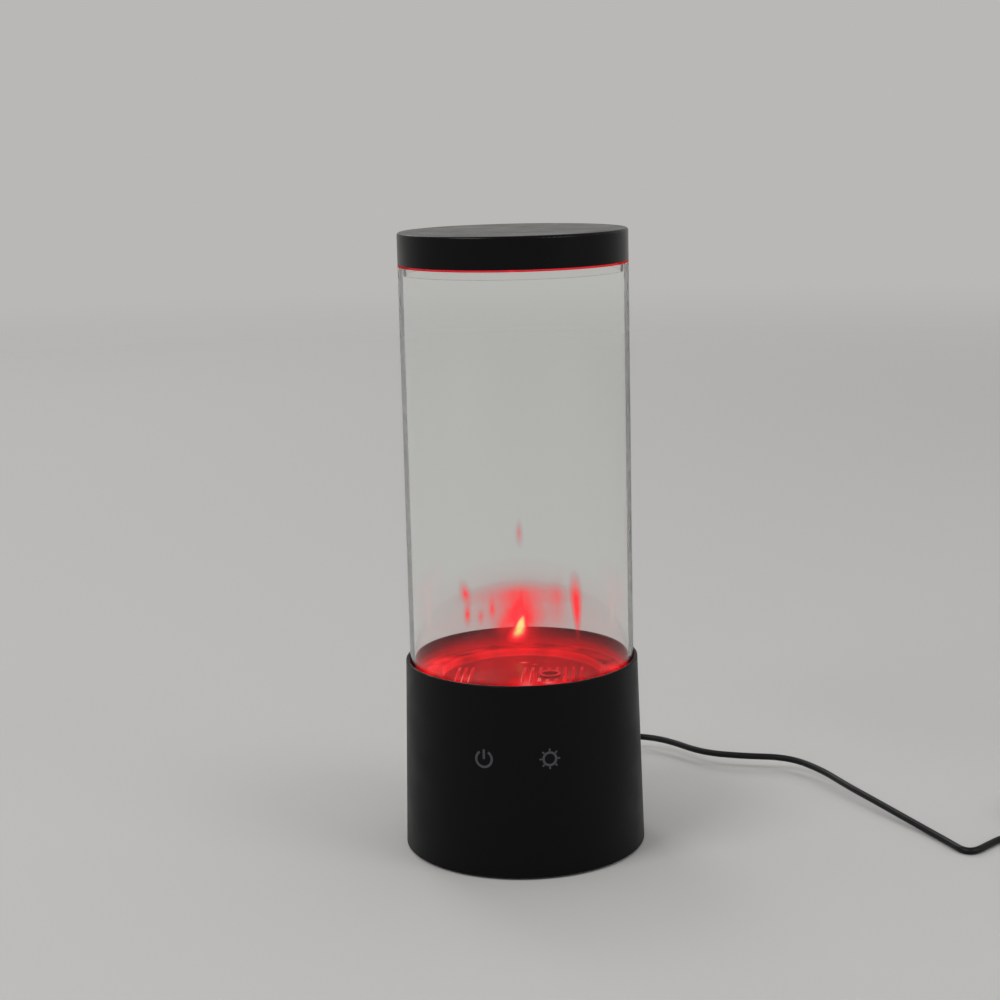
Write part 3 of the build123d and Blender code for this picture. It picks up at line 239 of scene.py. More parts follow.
def makeStage(spec):
    world = bpy.data.worlds.new("studio")
    world.use_nodes = True
    scene.world = world
    tree = world.node_tree
    tree.nodes.clear()
    rays = addNode(tree, "ShaderNodeLightPath")
    dome = addNode(tree, "ShaderNodeBackground", {"Color": (1, 1, 1, 1), "Strength": spec["worldStrength"]})
    sky = addNode(tree, "ShaderNodeBackground", {"Color": hexColour(spec["pale"]), "Strength": 1.0})
    seen = addNode(tree, "ShaderNodeMath", {"operation": "MAXIMUM"},
                   {0: rays.outputs["Is Camera Ray"], 1: rays.outputs["Is Transmission Ray"]})
    seen = addNode(tree, "ShaderNodeMath", {"operation": "MAXIMUM"},
                   {0: seen.outputs[0], 1: rays.outputs["Is Glossy Ray"]})
    mixed = addNode(tree, "ShaderNodeMixShader", {},
                    {0: seen.outputs[0], 1: dome.outputs[0], 2: sky.outputs[0]})
    addNode(tree, "ShaderNodeOutputWorld", {}, {"Surface": mixed.outputs[0]})

    mesh = bpy.data.meshes.new("floor")
    form = bmesh.new()
    bmesh.ops.create_circle(form, cap_ends=True, segments=spec["floorSides"], radius=spec["floorRadius"])
    form.to_mesh(mesh)
    form.free()
    floor = bpy.data.objects.new("floor", mesh)
    floor.location.z = spec["floorHeight"]
    scene.collection.objects.link(floor)
    tree, output = newMaterial("seamlessPaper")  # matt, and it keeps the soft shadow
    place = addNode(tree, "ShaderNodeTexCoord").outputs["Object"]
    away = addNode(tree, "ShaderNodeVectorMath", {"operation": "LENGTH"}, {0: place})
    fade = addNode(tree, "ShaderNodeMapRange",
                   {"interpolation_type": "SMOOTHSTEP", "From Min": spec["fadeFrom"],
                    "From Max": spec["fadeTo"]}, {"Value": away.outputs["Value"]})
    board = addNode(tree, "ShaderNodeBsdfPrincipled",
                    {"Base Color": hexColour(spec["floorColour"]), "Roughness": spec["floorRough"],
                     "Specular IOR Level": spec["floorSpecular"]})
    clear = addNode(tree, "ShaderNodeBsdfTransparent")
    mixed = addNode(tree, "ShaderNodeMixShader", {},
                    {0: fade.outputs["Result"], 1: board.outputs[0], 2: clear.outputs[0]})
    tree.links.new(mixed.outputs[0], output.inputs["Surface"])
    finishPiece("seamlessPaper", floor)

    for name, place, aim, width, height, watts in spec["lamps"]:
        lamp = bpy.data.lights.new(name, "AREA")
        lamp.shape = "RECTANGLE"
        lamp.size = width
        lamp.size_y = height
        lamp.energy = watts
        holder = bpy.data.objects.new(name, lamp)
        scene.collection.objects.link(holder)
        holder.location = place
        holder.rotation_euler = (Vector(aim) - Vector(place)).to_track_quat("-Z", "Y").to_euler()


makeStage(studio)
print("stage lit")

# What moulding, rolling and handling leave on a surface. Sizes are in millimetres. Real grain is
# finer than the render shows, so it is drawn as coarse as it needs to be seen.
wear = {
    "grainDetail": 3.0,
    "grainDepth": 0.02,
    "colourDetail": 3.0,
    "gleamDetail": 2.0,
    "noiseMiddle": (0.3, 0.7),  # nearly all of a noise lies between
}
plasticWear = {
    "ior": 1.5,  # typical of moulded plastics
    "coatRough": 0.15,
    "colourPatch": 9.0,
    "gleamPatch": 14.0,
    "gleam": (-0.04, 0.05),  # added to the roughness
}
metalWear = {
    "colourPatch": 2.5,
    "colourShare": 0.06,
    "gleamPatch": 3.0,
    "gleam": (-0.05, 0.08),
}


def grainBump(tree, size, strength):
    place = addNode(tree, "ShaderNodeTexCoord").outputs["Object"]
    noise = addNode(tree, "ShaderNodeTexNoise", {"Scale": perFeature(size), "Detail": wear["grainDetail"]},
                    {"Vector": place})
    return addNode(tree, "ShaderNodeBump", {"Strength": strength, "Distance": mm(wear["grainDepth"])},
                   {"Height": noise.outputs["Fac"]}).outputs["Normal"]


def unevenGleam(tree, size, rough, change):  # roughness that changes slowly, as handling leaves it
    place = addNode(tree, "ShaderNodeTexCoord").outputs["Object"]
    noise = addNode(tree, "ShaderNodeTexNoise", {"Scale": perFeature(size), "Detail": wear["gleamDetail"]},
                    {"Vector": place})
    low, high = wear["noiseMiddle"]
    less, more = change
    return addNode(tree, "ShaderNodeMapRange",
                   {"From Min": low, "From Max": high, "To Min": rough + less, "To Max": rough + more},
                   {"Value": noise.outputs["Fac"]}).outputs["Result"]


def unevenColour(tree, size, colour, share):  # the colour, a little darker and lighter from place to place
    base = hexColour(colour)
    place = addNode(tree, "ShaderNodeTexCoord").outputs["Object"]
    noise = addNode(tree, "ShaderNodeTexNoise", {"Scale": perFeature(size), "Detail": wear["colourDetail"]},
                    {"Vector": place})
    darker = (*[c * (1 - share) for c in base[:3]], 1.0)
    lighter = (*[c * (1 + share) for c in base[:3]], 1.0)
    return addNode(tree, "ShaderNodeMix", {"data_type": "RGBA", 6: darker, 7: lighter},
                   {0: noise.outputs["Fac"]}).outputs[2]


def mouldedPlastic(name, colour, rough, grain, bump, coat=0.0, specular=0.5, share=0.12):
    spec = plasticWear
    tree, output = newMaterial(name)
    shader = addNode(tree, "ShaderNodeBsdfPrincipled",
                     {"IOR": spec["ior"], "Specular IOR Level": specular, "Coat Weight": coat,
                      "Coat Roughness": spec["coatRough"]},
                     {"Base Color": unevenColour(tree, spec["colourPatch"], colour, share),
                      "Roughness": unevenGleam(tree, spec["gleamPatch"], rough, spec["gleam"]),
                      "Normal": grainBump(tree, grain, bump)})
    tree.links.new(shader.outputs[0], output.inputs["Surface"])


def plainMetal(name, colour, rough, grain, bump):
    spec = metalWear
    tree, output = newMaterial(name)
    shader = addNode(tree, "ShaderNodeBsdfPrincipled", {"Metallic": 1.0},
                     {"Base Color": unevenColour(tree, spec["colourPatch"], colour, spec["colourShare"]),
                      "Roughness": unevenGleam(tree, spec["gleamPatch"], rough, spec["gleam"]),
                      "Normal": grainBump(tree, grain, bump)})
    tree.links.new(shader.outputs[0], output.inputs["Surface"])


def roundPlaces(tree):  # places round the part's axis, in millimetres and radians, for patterns of light
    coords = addNode(tree, "ShaderNodeTexCoord")
    place = addNode(tree, "ShaderNodeVectorMath", {"operation": "SCALE", "Scale": 1.0 / mm(1)},
                    {0: coords.outputs["Object"]})
    apart = addNode(tree, "ShaderNodeSeparateXYZ", {}, {0: place.outputs[0]})
    flat = addNode(tree, "ShaderNodeVectorMath", {"operation": "MULTIPLY", 1: (1, 1, 0)},
                   {0: place.outputs[0]})
    facing = addNode(tree, "ShaderNodeSeparateXYZ", {}, {0: coords.outputs["Normal"]})
    return {
        "place": place.outputs[0],
        "x": apart.outputs[0],
        "y": apart.outputs[1],
        "z": apart.outputs[2],
        "radius": addNode(tree, "ShaderNodeVectorMath", {"operation": "LENGTH"},
                          {0: flat.outputs[0]}).outputs["Value"],
        "angle": addNode(tree, "ShaderNodeMath", {"operation": "ARCTAN2"},
                         {0: apart.outputs[1], 1: apart.outputs[0]}).outputs[0],
        "up": facing.outputs[2],
    }


# An oval of light that fades outwards from its middle, "at", which is across and along, to "wide"
# and "high" away from it, in millimetres. These values hold where a spot doesn't give its own.
plainSpot = {
    "lean": 0.0,  # how far its top stands aside
    "taper": 0.0,  # share of the width lost at its top
    "fall": 1.7,  # power of the fading
    "leastWide": 0.1,
}


def softSpot(tree, across, along, spot):
    spot = {**plainSpot, **spot}
    middle, base = spot["at"]
    high = addNode(tree, "ShaderNodeMath",
                   {"operation": "MULTIPLY_ADD", 1: 1 / spot["high"], 2: -base / spot["high"]},
                   {0: along}).outputs[0]
    lean = addNode(tree, "ShaderNodeMath", {"operation": "MULTIPLY_ADD", 1: -spot["lean"], 2: -middle},
                   {0: high}).outputs[0]
    side = addNode(tree, "ShaderNodeMath", {"operation": "ADD"}, {0: across, 1: lean}).outputs[0]
    wide = addNode(tree, "ShaderNodeMath",
                   {"operation": "MULTIPLY_ADD", 1: -spot["taper"] * spot["wide"], 2: spot["wide"]},
                   {0: high}).outputs[0]
    wide = addNode(tree, "ShaderNodeMath", {"operation": "MAXIMUM", 1: spot["leastWide"]},
                   {0: wide}).outputs[0]
    side = addNode(tree, "ShaderNodeMath", {"operation": "DIVIDE"}, {0: side, 1: wide}).outputs[0]
    both = addNode(tree, "ShaderNodeCombineXYZ", {}, {0: side, 1: high})
    away = addNode(tree, "ShaderNodeVectorMath", {"operation": "LENGTH"}, {0: both.outputs[0]})
    near = addNode(tree, "ShaderNodeMapRange",
                   {"From Min": 0.0, "From Max": 1.0, "To Min": 1.0, "To Max": 0.0},
                   {"Value": away.outputs["Value"]}).outputs["Result"]
    near = addNode(tree, "ShaderNodeMath", {"operation": "POWER", 1: spot["fall"]}, {0: near}).outputs[0]
    return addNode(tree, "ShaderNodeMath", {"operation": "MULTIPLY", 1: spot["light"]}, {0: near}).outputs[0]


def lightsTogether(tree, lights):
    total = lights[0]
    for light in lights[1:]:
        total = addNode(tree, "ShaderNodeMath", {"operation": "ADD"}, {0: total, 1: light}).outputs[0]
    return total


def colourStops(node, stops):  # stops are level, sRGB hex
    ramp = node.color_ramp
    while len(ramp.elements) > 1:
        ramp.elements.remove(ramp.elements[-1])
    for k, (level, code) in enumerate(stops):
        stop = ramp.elements[0] if k == 0 else ramp.elements.new(level)
        stop.position = level
        stop.color = hexColour(code)


# From the deep red of faint light to the yellow of the lamps themselves
redLight = [
    (0.0, "#000000"),
    (0.12, "#3c0003"),
    (0.3, "#8c020a"),
    (0.5, "#d2060f"),
    (0.68, "#fa1c26"),
    (0.8, "#ff5a58"),
    (0.9, "#ffb05a"),
    (1.0, "#ffe890"),
]
# The same without yellow, for edges that shine pink
pinkLight = redLight[:5] + [(0.82, "#ff4a50"), (1.0, "#ff9c98")]


# Clear pieces let the lamps' rays through, so what is behind them is lit. Light trapped in the plastic is
# painted on as a glow, and where it glows, what is behind it is seen through a painted red tint that stands
# for that light, the sooner the higher redGain is. The matt share of each surface only refracts, so that it
# mirrors less of pale surroundings.
def clearPlastic(name, glow, ramp, colour, red, redGain, rough, ior, matt, strength, bump=None):
    tree, output = newMaterial(name)
    rays = addNode(tree, "ShaderNodeLightPath")
    level = glow(tree)
    light = addNode(tree, "ShaderNodeValToRGB", {}, {0: level})
    colourStops(light, ramp)
    # The share of painted red tint rises quickly, then slowly: g (2 - g)
    gain = addNode(tree, "ShaderNodeMath", {"operation": "MULTIPLY", 1: redGain, "use_clamp": True},
                   {0: level}).outputs[0]
    rest = addNode(tree, "ShaderNodeMath", {"operation": "SUBTRACT", 0: 2.0}, {1: gain}).outputs[0]
    gain = addNode(tree, "ShaderNodeMath", {"operation": "MULTIPLY"}, {0: gain, 1: rest})
    seen = addNode(tree, "ShaderNodeMix", {"data_type": "RGBA", 6: hexColour(colour), 7: hexColour(red)},
                   {0: gain.outputs[0]}).outputs[2]
    shader = addNode(tree, "ShaderNodeBsdfPrincipled",
                     {"Roughness": rough, "IOR": ior, "Transmission Weight": 1.0,
                      "Emission Strength": strength / (1 - matt)},
                     {"Base Color": seen, "Emission Color": light.outputs[0]})
    once = addNode(tree, "ShaderNodeGamma", {"Gamma": 0.5}, {"Color": seen})  # half at each of two surfaces
    bent = addNode(tree, "ShaderNodeBsdfRefraction", {"Roughness": rough, "IOR": ior},
                   {"Color": once.outputs[0]})
    if bump:
        normal = bump(tree)
        tree.links.new(normal, shader.inputs["Normal"])
        tree.links.new(normal, bent.inputs["Normal"])
    body = addNode(tree, "ShaderNodeMixShader", {0: matt}, {1: shader.outputs[0], 2: bent.outputs[0]})
    clear = addNode(tree, "ShaderNodeBsdfTransparent")
    mixed = addNode(tree, "ShaderNodeMixShader", {},
                    {0: rays.outputs["Is Shadow Ray"], 1: body.outputs[0], 2: clear.outputs[0]})
    tree.links.new(mixed.outputs[0], output.inputs["Surface"])


# Tube. Each lamp behind sends a flame up its wall. Turns are in degrees round the axis, and the
# rest is in millimetres. The draw lines are drawn wider and deeper than they are.
tube = {
    "plastic": {"colour": "#fcfdfc", "red": "#c00a10", "redGain": 1.6, "rough": 0.0, "ior": 1.49,
                "matt": 0.45, "strength": 0.9},
    "innerRadius": 46.2,
    "wallMiddle": 47.2,
    "foot": (73.0, 84.5, 0.3),  # from, to, light at the foot
    "endLight": 0.3,
    "patchSize": 5.0,
    "patches": (0.92, 1.06),  # times the flames' light
    "flames": [
        {"turn": 94.4, "up": 82.3, "wide": 4.6, "high": 7.0, "lean": -2.2, "taper": 0.75, "light": 0.66,
         "fall": 0.9},  # core
        {"turn": 94.1, "up": 87.0, "wide": 13.0, "high": 17.0, "light": 0.4, "fall": 1.3},  # halo round it
        {"turn": 93.2, "up": 93.0, "wide": 27.0, "high": 17.0, "light": 0.25, "fall": 1.2},
        {"turn": 93.0, "up": 96.5, "wide": 1.3, "high": 11.0, "light": 0.08},  # fine line over the core
        {"turn": 93.0, "up": 99.5, "wide": 38.0, "high": 6.0, "light": 0.2, "fall": 1.1},  # arch
        {"turn": 93.4, "up": 127.0, "wide": 2.6, "high": 8.5, "taper": 0.3, "light": 0.36},
        {"turn": 126.6, "up": 101.5, "wide": 4.4, "high": 8.5, "lean": 2.0, "light": 0.5},
        {"turn": 125.4, "up": 91.6, "wide": 3.0, "high": 7.5, "light": 0.55},
        {"turn": 117.0, "up": 89.5, "wide": 2.4, "high": 5.5, "light": 0.3},
        {"turn": 110.0, "up": 92.5, "wide": 2.6, "high": 8.0, "light": 0.36},
        {"turn": 104.5, "up": 84.5, "wide": 6.0, "high": 6.0, "light": 0.22},
        {"turn": 59.8, "up": 95.0, "wide": 3.6, "high": 17.0, "lean": 0.8, "taper": -0.5, "light": 0.66,
         "fall": 1.0},
        {"turn": 72.0, "up": 97.0, "wide": 6.0, "high": 15.0, "light": 0.22},
        {"turn": 92.0, "up": 88.0, "wide": 64.0, "high": 30.0, "light": 0.2, "fall": 1.2},  # haze
        {"turn": 3.0, "up": 138.0, "wide": 5.0, "high": 28.0, "light": 0.14},
    ],
    "drawLines": {"size": 4.0, "stretch": 0.01, "detail": 2.0, "strength": 0.08, "depth": 0.05},
}


def tubeLight(tree):
    spec = tube
    at = roundPlaces(tree)
    across = addNode(tree, "ShaderNodeMath", {"operation": "MULTIPLY", 1: spec["innerRadius"]},
                     {0: at["angle"]}).outputs[0]
    spots = []
    for flame in spec["flames"]:
        middle = (math.radians(flame["turn"]) * spec["innerRadius"], flame["up"])
        spots.append(softSpot(tree, across, at["z"], {**flame, "at": middle}))
    noise = addNode(tree, "ShaderNodeTexNoise",
                    {"Scale": 1 / spec["patchSize"], "Detail": wear["gleamDetail"]}, {"Vector": at["place"]})
    low, high = wear["noiseMiddle"]
    dim, bright = spec["patches"]
    uneven = addNode(tree, "ShaderNodeMapRange",
                     {"From Min": low, "From Max": high, "To Min": dim, "To Max": bright},
                     {"Value": noise.outputs["Fac"]}).outputs["Result"]
    glow = lightsTogether(tree, spots)
    glow = addNode(tree, "ShaderNodeMath", {"operation": "MULTIPLY"}, {0: glow, 1: uneven}).outputs[0]
    inside = addNode(tree, "ShaderNodeMath", {"operation": "LESS_THAN", 1: spec["wallMiddle"]},
                     {0: at["radius"]}).outputs[0]
    glow = addNode(tree, "ShaderNodeMath", {"operation": "MULTIPLY"}, {0: glow, 1: inside}).outputs[0]
    low, high, light = spec["foot"]
    foot = addNode(tree, "ShaderNodeMapRange",
                   {"interpolation_type": "SMOOTHSTEP", "From Min": low, "From Max": high, "To Min": light,
                    "To Max": 0.0}, {"Value": at["z"]}).outputs["Result"]
    ends = addNode(tree, "ShaderNodeMath", {"operation": "ABSOLUTE"}, {0: at["up"]}).outputs[0]
    ends = addNode(tree, "ShaderNodeMath", {"operation": "MULTIPLY", 1: spec["endLight"]},
                   {0: ends}).outputs[0]
    return lightsTogether(tree, [glow, foot, ends])  # the sawn ends shine, as edges of acrylic do


def tubeBump(tree):  # lines along the tube from its making, too shallow to see except in glints
    spec = tube["drawLines"]
    place = addNode(tree, "ShaderNodeTexCoord").outputs["Object"]
    drawn = addNode(tree, "ShaderNodeVectorMath", {"operation": "MULTIPLY", 1: (1, 1, spec["stretch"])},
                    {0: place})
    noise = addNode(tree, "ShaderNodeTexNoise",
                    {"Scale": perFeature(spec["size"]), "Detail": spec["detail"]},
                    {"Vector": drawn.outputs[0]})
    return addNode(tree, "ShaderNodeBump", {"Strength": spec["strength"], "Distance": mm(spec["depth"])},
                   {"Height": noise.outputs["Fac"]}).outputs["Normal"]


# Cast and polished: lets all through
clearPlastic("castAcrylic", tubeLight, redLight, bump=tubeBump, **tube["plastic"])


# How light varies over moulded clear pieces
mouldedLight = {
    "edgeTurn": (0.2, 0.8),  # from upright faces, which shine most, to flat ones
    "patchDetail": 3.0,
    "patchRough": 0.6,
    "patchMiddle": (0.32, 0.68),
}


def edgeLight(tree, at, level):
    flat = addNode(tree, "ShaderNodeMath", {"operation": "ABSOLUTE"}, {0: at["up"]}).outputs[0]
    low, high = mouldedLight["edgeTurn"]
    return addNode(tree, "ShaderNodeMapRange",
                   {"From Min": low, "From Max": high, "To Min": level, "To Max": 0.0},
                   {"Value": flat}).outputs["Result"]


def patchyLight(tree, at, size, level, stretch=(1, 1, 1)):
    drawn = addNode(tree, "ShaderNodeVectorMath", {"operation": "MULTIPLY", 1: stretch}, {0: at["place"]})
    noise = addNode(tree, "ShaderNodeTexNoise",
                    {"Scale": 1 / size, "Detail": mouldedLight["patchDetail"],
                     "Roughness": mouldedLight["patchRough"]}, {"Vector": drawn.outputs[0]})
    low, high = mouldedLight["patchMiddle"]
    return addNode(tree, "ShaderNodeMapRange",
                   {"From Min": low, "From Max": high, "To Min": -level / 2, "To Max": level / 2},
                   {"Value": noise.outputs["Fac"]}).outputs["Result"]


# Tank's floor, lit by the lamps under its flange, with a bright pan edge and fine rings of painted light
# along its moulding rings
tankFloor = {
    "plastic": {"colour": "#ffd8d4", "red": "#7a0008", "redGain": 2.6, "rough": 0.09, "ior": 1.58,
                "matt": 0.82, "strength": 0.66},
    "level": 0.36,
    "edgeLevel": 0.2,
    "lampCircle": 39.0,  # radius of the ring of lamps
    "lampSpread": 7.0,
    "lampCount": 12,
    "firstLamp": 93.0,  # degrees
    "lampLevel": 0.1,
    "ringSpacing": 1.6,
    "ringLevel": 0.035,
    "patchSize": 7.0,
    "patchLevel": 0.2,
    "patches": [
        {"at": (-39.0, 8.0), "wide": 11.0, "high": 24.0, "light": 0.46},
        {"at": (40.0, 4.0), "wide": 9.0, "high": 18.0, "light": 0.22},
        {"at": (-3.0, 43.0), "wide": 12.0, "high": 9.0, "light": 0.16},
        {"at": (-3.0, 32.5), "wide": 13.0, "high": 4.5, "light": 0.2},
        {"at": (0.0, -42.0), "wide": 34.0, "high": 12.0, "light": 0.12},
        {"at": (-25.5, -4.0), "wide": 9.0, "high": 15.0, "light": 0.7},  # under the left slots
        {"at": (32.0, 16.0), "wide": 13.0, "high": 18.0, "light": -0.16},  # shade at the right
    ],
}


def floorLight(tree):
    spec = tankFloor
    at = roundPlaces(tree)
    turns = addNode(tree, "ShaderNodeMath",
                    {"operation": "MULTIPLY_ADD", 1: spec["lampCount"],
                     2: -math.radians(spec["firstLamp"]) * spec["lampCount"]}, {0: at["angle"]}).outputs[0]
    beat = addNode(tree, "ShaderNodeMath", {"operation": "COSINE"}, {0: turns}).outputs[0]
    near = addNode(tree, "ShaderNodeMath", {"operation": "SUBTRACT", 1: spec["lampCircle"]},
                   {0: at["radius"]}).outputs[0]
    near = addNode(tree, "ShaderNodeMath", {"operation": "ABSOLUTE"}, {0: near}).outputs[0]
    ring = addNode(tree, "ShaderNodeMapRange",
                   {"interpolation_type": "SMOOTHSTEP", "From Min": 0.0, "From Max": spec["lampSpread"],
                    "To Min": spec["lampLevel"], "To Max": 0.0}, {"Value": near}).outputs["Result"]
    lamps = addNode(tree, "ShaderNodeMath", {"operation": "MULTIPLY"}, {0: beat, 1: ring}).outputs[0]
    # fine rings of painted light, for the light that moulding rings catch
    rings = addNode(tree, "ShaderNodeMath", {"operation": "MULTIPLY", 1: 2 * math.pi / spec["ringSpacing"]},
                    {0: at["radius"]}).outputs[0]
    rings = addNode(tree, "ShaderNodeMath", {"operation": "SINE"}, {0: rings}).outputs[0]
    rings = addNode(tree, "ShaderNodeMath", {"operation": "MULTIPLY", 1: spec["ringLevel"]},
                    {0: rings}).outputs[0]
    lamps = addNode(tree, "ShaderNodeMath", {"operation": "ADD", 1: spec["level"]}, {0: lamps}).outputs[0]
    edges = edgeLight(tree, at, spec["edgeLevel"])
    uneven = patchyLight(tree, at, spec["patchSize"], spec["patchLevel"])
    spots = [softSpot(tree, at["x"], at["y"], patch) for patch in spec["patches"]]
    return lightsTogether(tree, [lamps, rings, edges, uneven, *spots])


# Moulded, satin underneath: blurs what is below it
clearPlastic("satinPolycarbonate", floorLight, pinkLight, **tankFloor["plastic"])


# Pump's cover, dimmer in the middle, bright at the slots' edges and to the front
pumpCover = {
    "plastic": {"colour": "#ffd8d4", "red": "#700006", "redGain": 2.2, "rough": 0.03, "ior": 1.58,
                "matt": 0.86, "strength": 0.5},
    "level": 0.2,
    "rim": (30.0, 34.6),  # radii between which the light rises by rimLevel
    "rimLevel": 0.2,
    "edgeLevel": 0.5,
    "patchSize": 6.0,
    "patchStretch": (2.0, 0.5, 1.0),
    "patchLevel": 0.12,
    "patches": [
        {"at": (-25.0, -4.0), "wide": 8.0, "high": 16.0, "light": 0.6},
        {"at": (0.0, -24.0), "wide": 30.0, "high": 26.0, "light": 0.6},
        {"at": (3.0, -9.0), "wide": 10.0, "high": 30.0, "light": 0.55, "fall": 1.1},
        {"at": (12.0, -9.5), "wide": 6.0, "high": 6.0, "light": 0.6},
        {"at": (21.0, -12.0), "wide": 13.0, "high": 10.0, "light": 0.75, "fall": 1.3},
        {"at": (-0.4, 22.7), "wide": 3.2, "high": 1.6, "light": 0.95, "fall": 0.8},
        {"at": (4.6, 19.6), "wide": 2.4, "high": 1.4, "light": 0.6, "fall": 0.8},
    ],
}


def coverLight(tree):
    spec = pumpCover
    at = roundPlaces(tree)
    low, high = spec["rim"]
    rim = addNode(tree, "ShaderNodeMapRange",
                  {"From Min": low, "From Max": high, "To Min": spec["level"],
                   "To Max": spec["level"] + spec["rimLevel"]}, {"Value": at["radius"]}).outputs["Result"]
    edges = edgeLight(tree, at, spec["edgeLevel"])
    uneven = patchyLight(tree, at, spec["patchSize"], spec["patchLevel"], spec["patchStretch"])
    spots = [softSpot(tree, at["x"], at["y"], patch) for patch in spec["patches"]]
    return lightsTogether(tree, [rim, edges, uneven, *spots])


# Moulded and polished: its slots have sharp edges
clearPlastic("polishedPolycarbonate", coverLight, pinkLight, **pumpCover["plastic"])


# Volute's plate and the spout's rim shine, and the bore between them stays dark
volute = {
    "plastic": {"colour": "#ffd8d4", "red": "#6e0008", "redGain": 6.0, "rough": 0.08, "ior": 1.58,
                "matt": 0.75, "strength": 0.6},
    "plate": (71.0, 71.6, 0.4),  # from, to, light below
    "rim": (73.6, 74.1, 0.5),  # from, to, light above
    "level": 0.12,
    "patchSize": 3.0,
    "patchLevel": 0.1,
}


def voluteLight(tree):
    spec = volute
    at = roundPlaces(tree)
    low, high, light = spec["plate"]
    plate = addNode(tree, "ShaderNodeMapRange",
                    {"From Min": low, "From Max": high, "To Min": light, "To Max": 0.0},
                    {"Value": at["z"]}).outputs["Result"]
    low, high, light = spec["rim"]
    rim = addNode(tree, "ShaderNodeMapRange",
                  {"From Min": low, "From Max": high, "To Min": spec["level"],
                   "To Max": spec["level"] + light}, {"Value": at["z"]}).outputs["Result"]
    uneven = patchyLight(tree, at, spec["patchSize"], spec["patchLevel"])
    return lightsTogether(tree, [plate, rim, uneven])


# Moulded clear: a painted red tint and glow, dark red in the bore, with a painted bright rim
clearPlastic("paintedGlowPolycarbonate", voluteLight, pinkLight, **volute["plastic"])


# Seals take up the red that leaves at the tube's sawn end, with one glint to the front
seal = {
    "plastic": {"colour": "#fdfbfa", "red": "#8a0a12", "redGain": 2.6, "rough": 0.06, "ior": 1.41,
                "matt": 0.8, "strength": 0.55},
    "lip": (46.3, 48.0),  # dark inside the first radius, full from the second
    "side": (-48.0, 48.0),  # from left to right
    "level": (0.42, 0.5),  # at the left and at the right
    "patchSize": 9.0,
    "patchLevel": 0.1,
    "glint": {"at": (2.4, 0.0), "wide": 2.8, "high": 90.0, "light": 0.8},
}


def sealLight(tree):
    spec = seal
    at = roundPlaces(tree)
    inner, lip = spec["lip"]
    outer = addNode(tree, "ShaderNodeMapRange",
                    {"From Min": inner, "From Max": lip, "To Min": 0.0, "To Max": 1.0},
                    {"Value": at["radius"]}).outputs["Result"]
    left, right = spec["side"]
    leftLevel, rightLevel = spec["level"]
    across = addNode(tree, "ShaderNodeMapRange",
                     {"From Min": left, "From Max": right, "To Min": leftLevel, "To Max": rightLevel},
                     {"Value": at["x"]}).outputs["Result"]
    front = addNode(tree, "ShaderNodeMath", {"operation": "LESS_THAN", 1: -inner}, {0: at["y"]}).outputs[0]
    glint = addNode(tree, "ShaderNodeMath", {"operation": "MULTIPLY"},
                    {0: softSpot(tree, at["x"], at["y"], spec["glint"]), 1: front}).outputs[0]
    uneven = patchyLight(tree, at, spec["patchSize"], spec["patchLevel"])
    light = lightsTogether(tree, [across, glint, uneven])
    return addNode(tree, "ShaderNodeMath", {"operation": "MULTIPLY"}, {0: light, 1: outer}).outputs[0]


# Moulded, soft and nearly clear: a pale ring where no light runs
clearPlastic("clearSilicone", sealLight, redLight, **seal["plastic"])


# Light packages under the floor
lens = {
    "body": "#f2e9e6",
    "rough": 0.3,
    "light": "#ff1810",
    "strength": 5.0,
    "topTurn": (0.5, 0.9),  # from unlit sides to lit tops
}


def litLens(name, spec):
    tree, output = newMaterial(name)
    at = roundPlaces(tree)
    low, high = spec["topTurn"]
    lit = addNode(tree, "ShaderNodeMapRange",
                  {"From Min": low, "From Max": high, "To Min": 0.0, "To Max": 1.0},
                  {"Value": at["up"]}).outputs["Result"]
    light = addNode(tree, "ShaderNodeMix",
                    {"data_type": "RGBA", 6: (0, 0, 0, 1), 7: hexColour(spec["light"])}, {0: lit})
    shader = addNode(tree, "ShaderNodeBsdfPrincipled",
                     {"Base Color": hexColour(spec["body"]), "Roughness": spec["rough"],
                      "Emission Strength": spec["strength"]}, {"Emission Color": light.outputs[2]})
    tree.links.new(shader.outputs[0], output.inputs["Surface"])


# Resin poured over the chips: a pale body with a top that glows red
litLens("litEpoxyLens", lens)


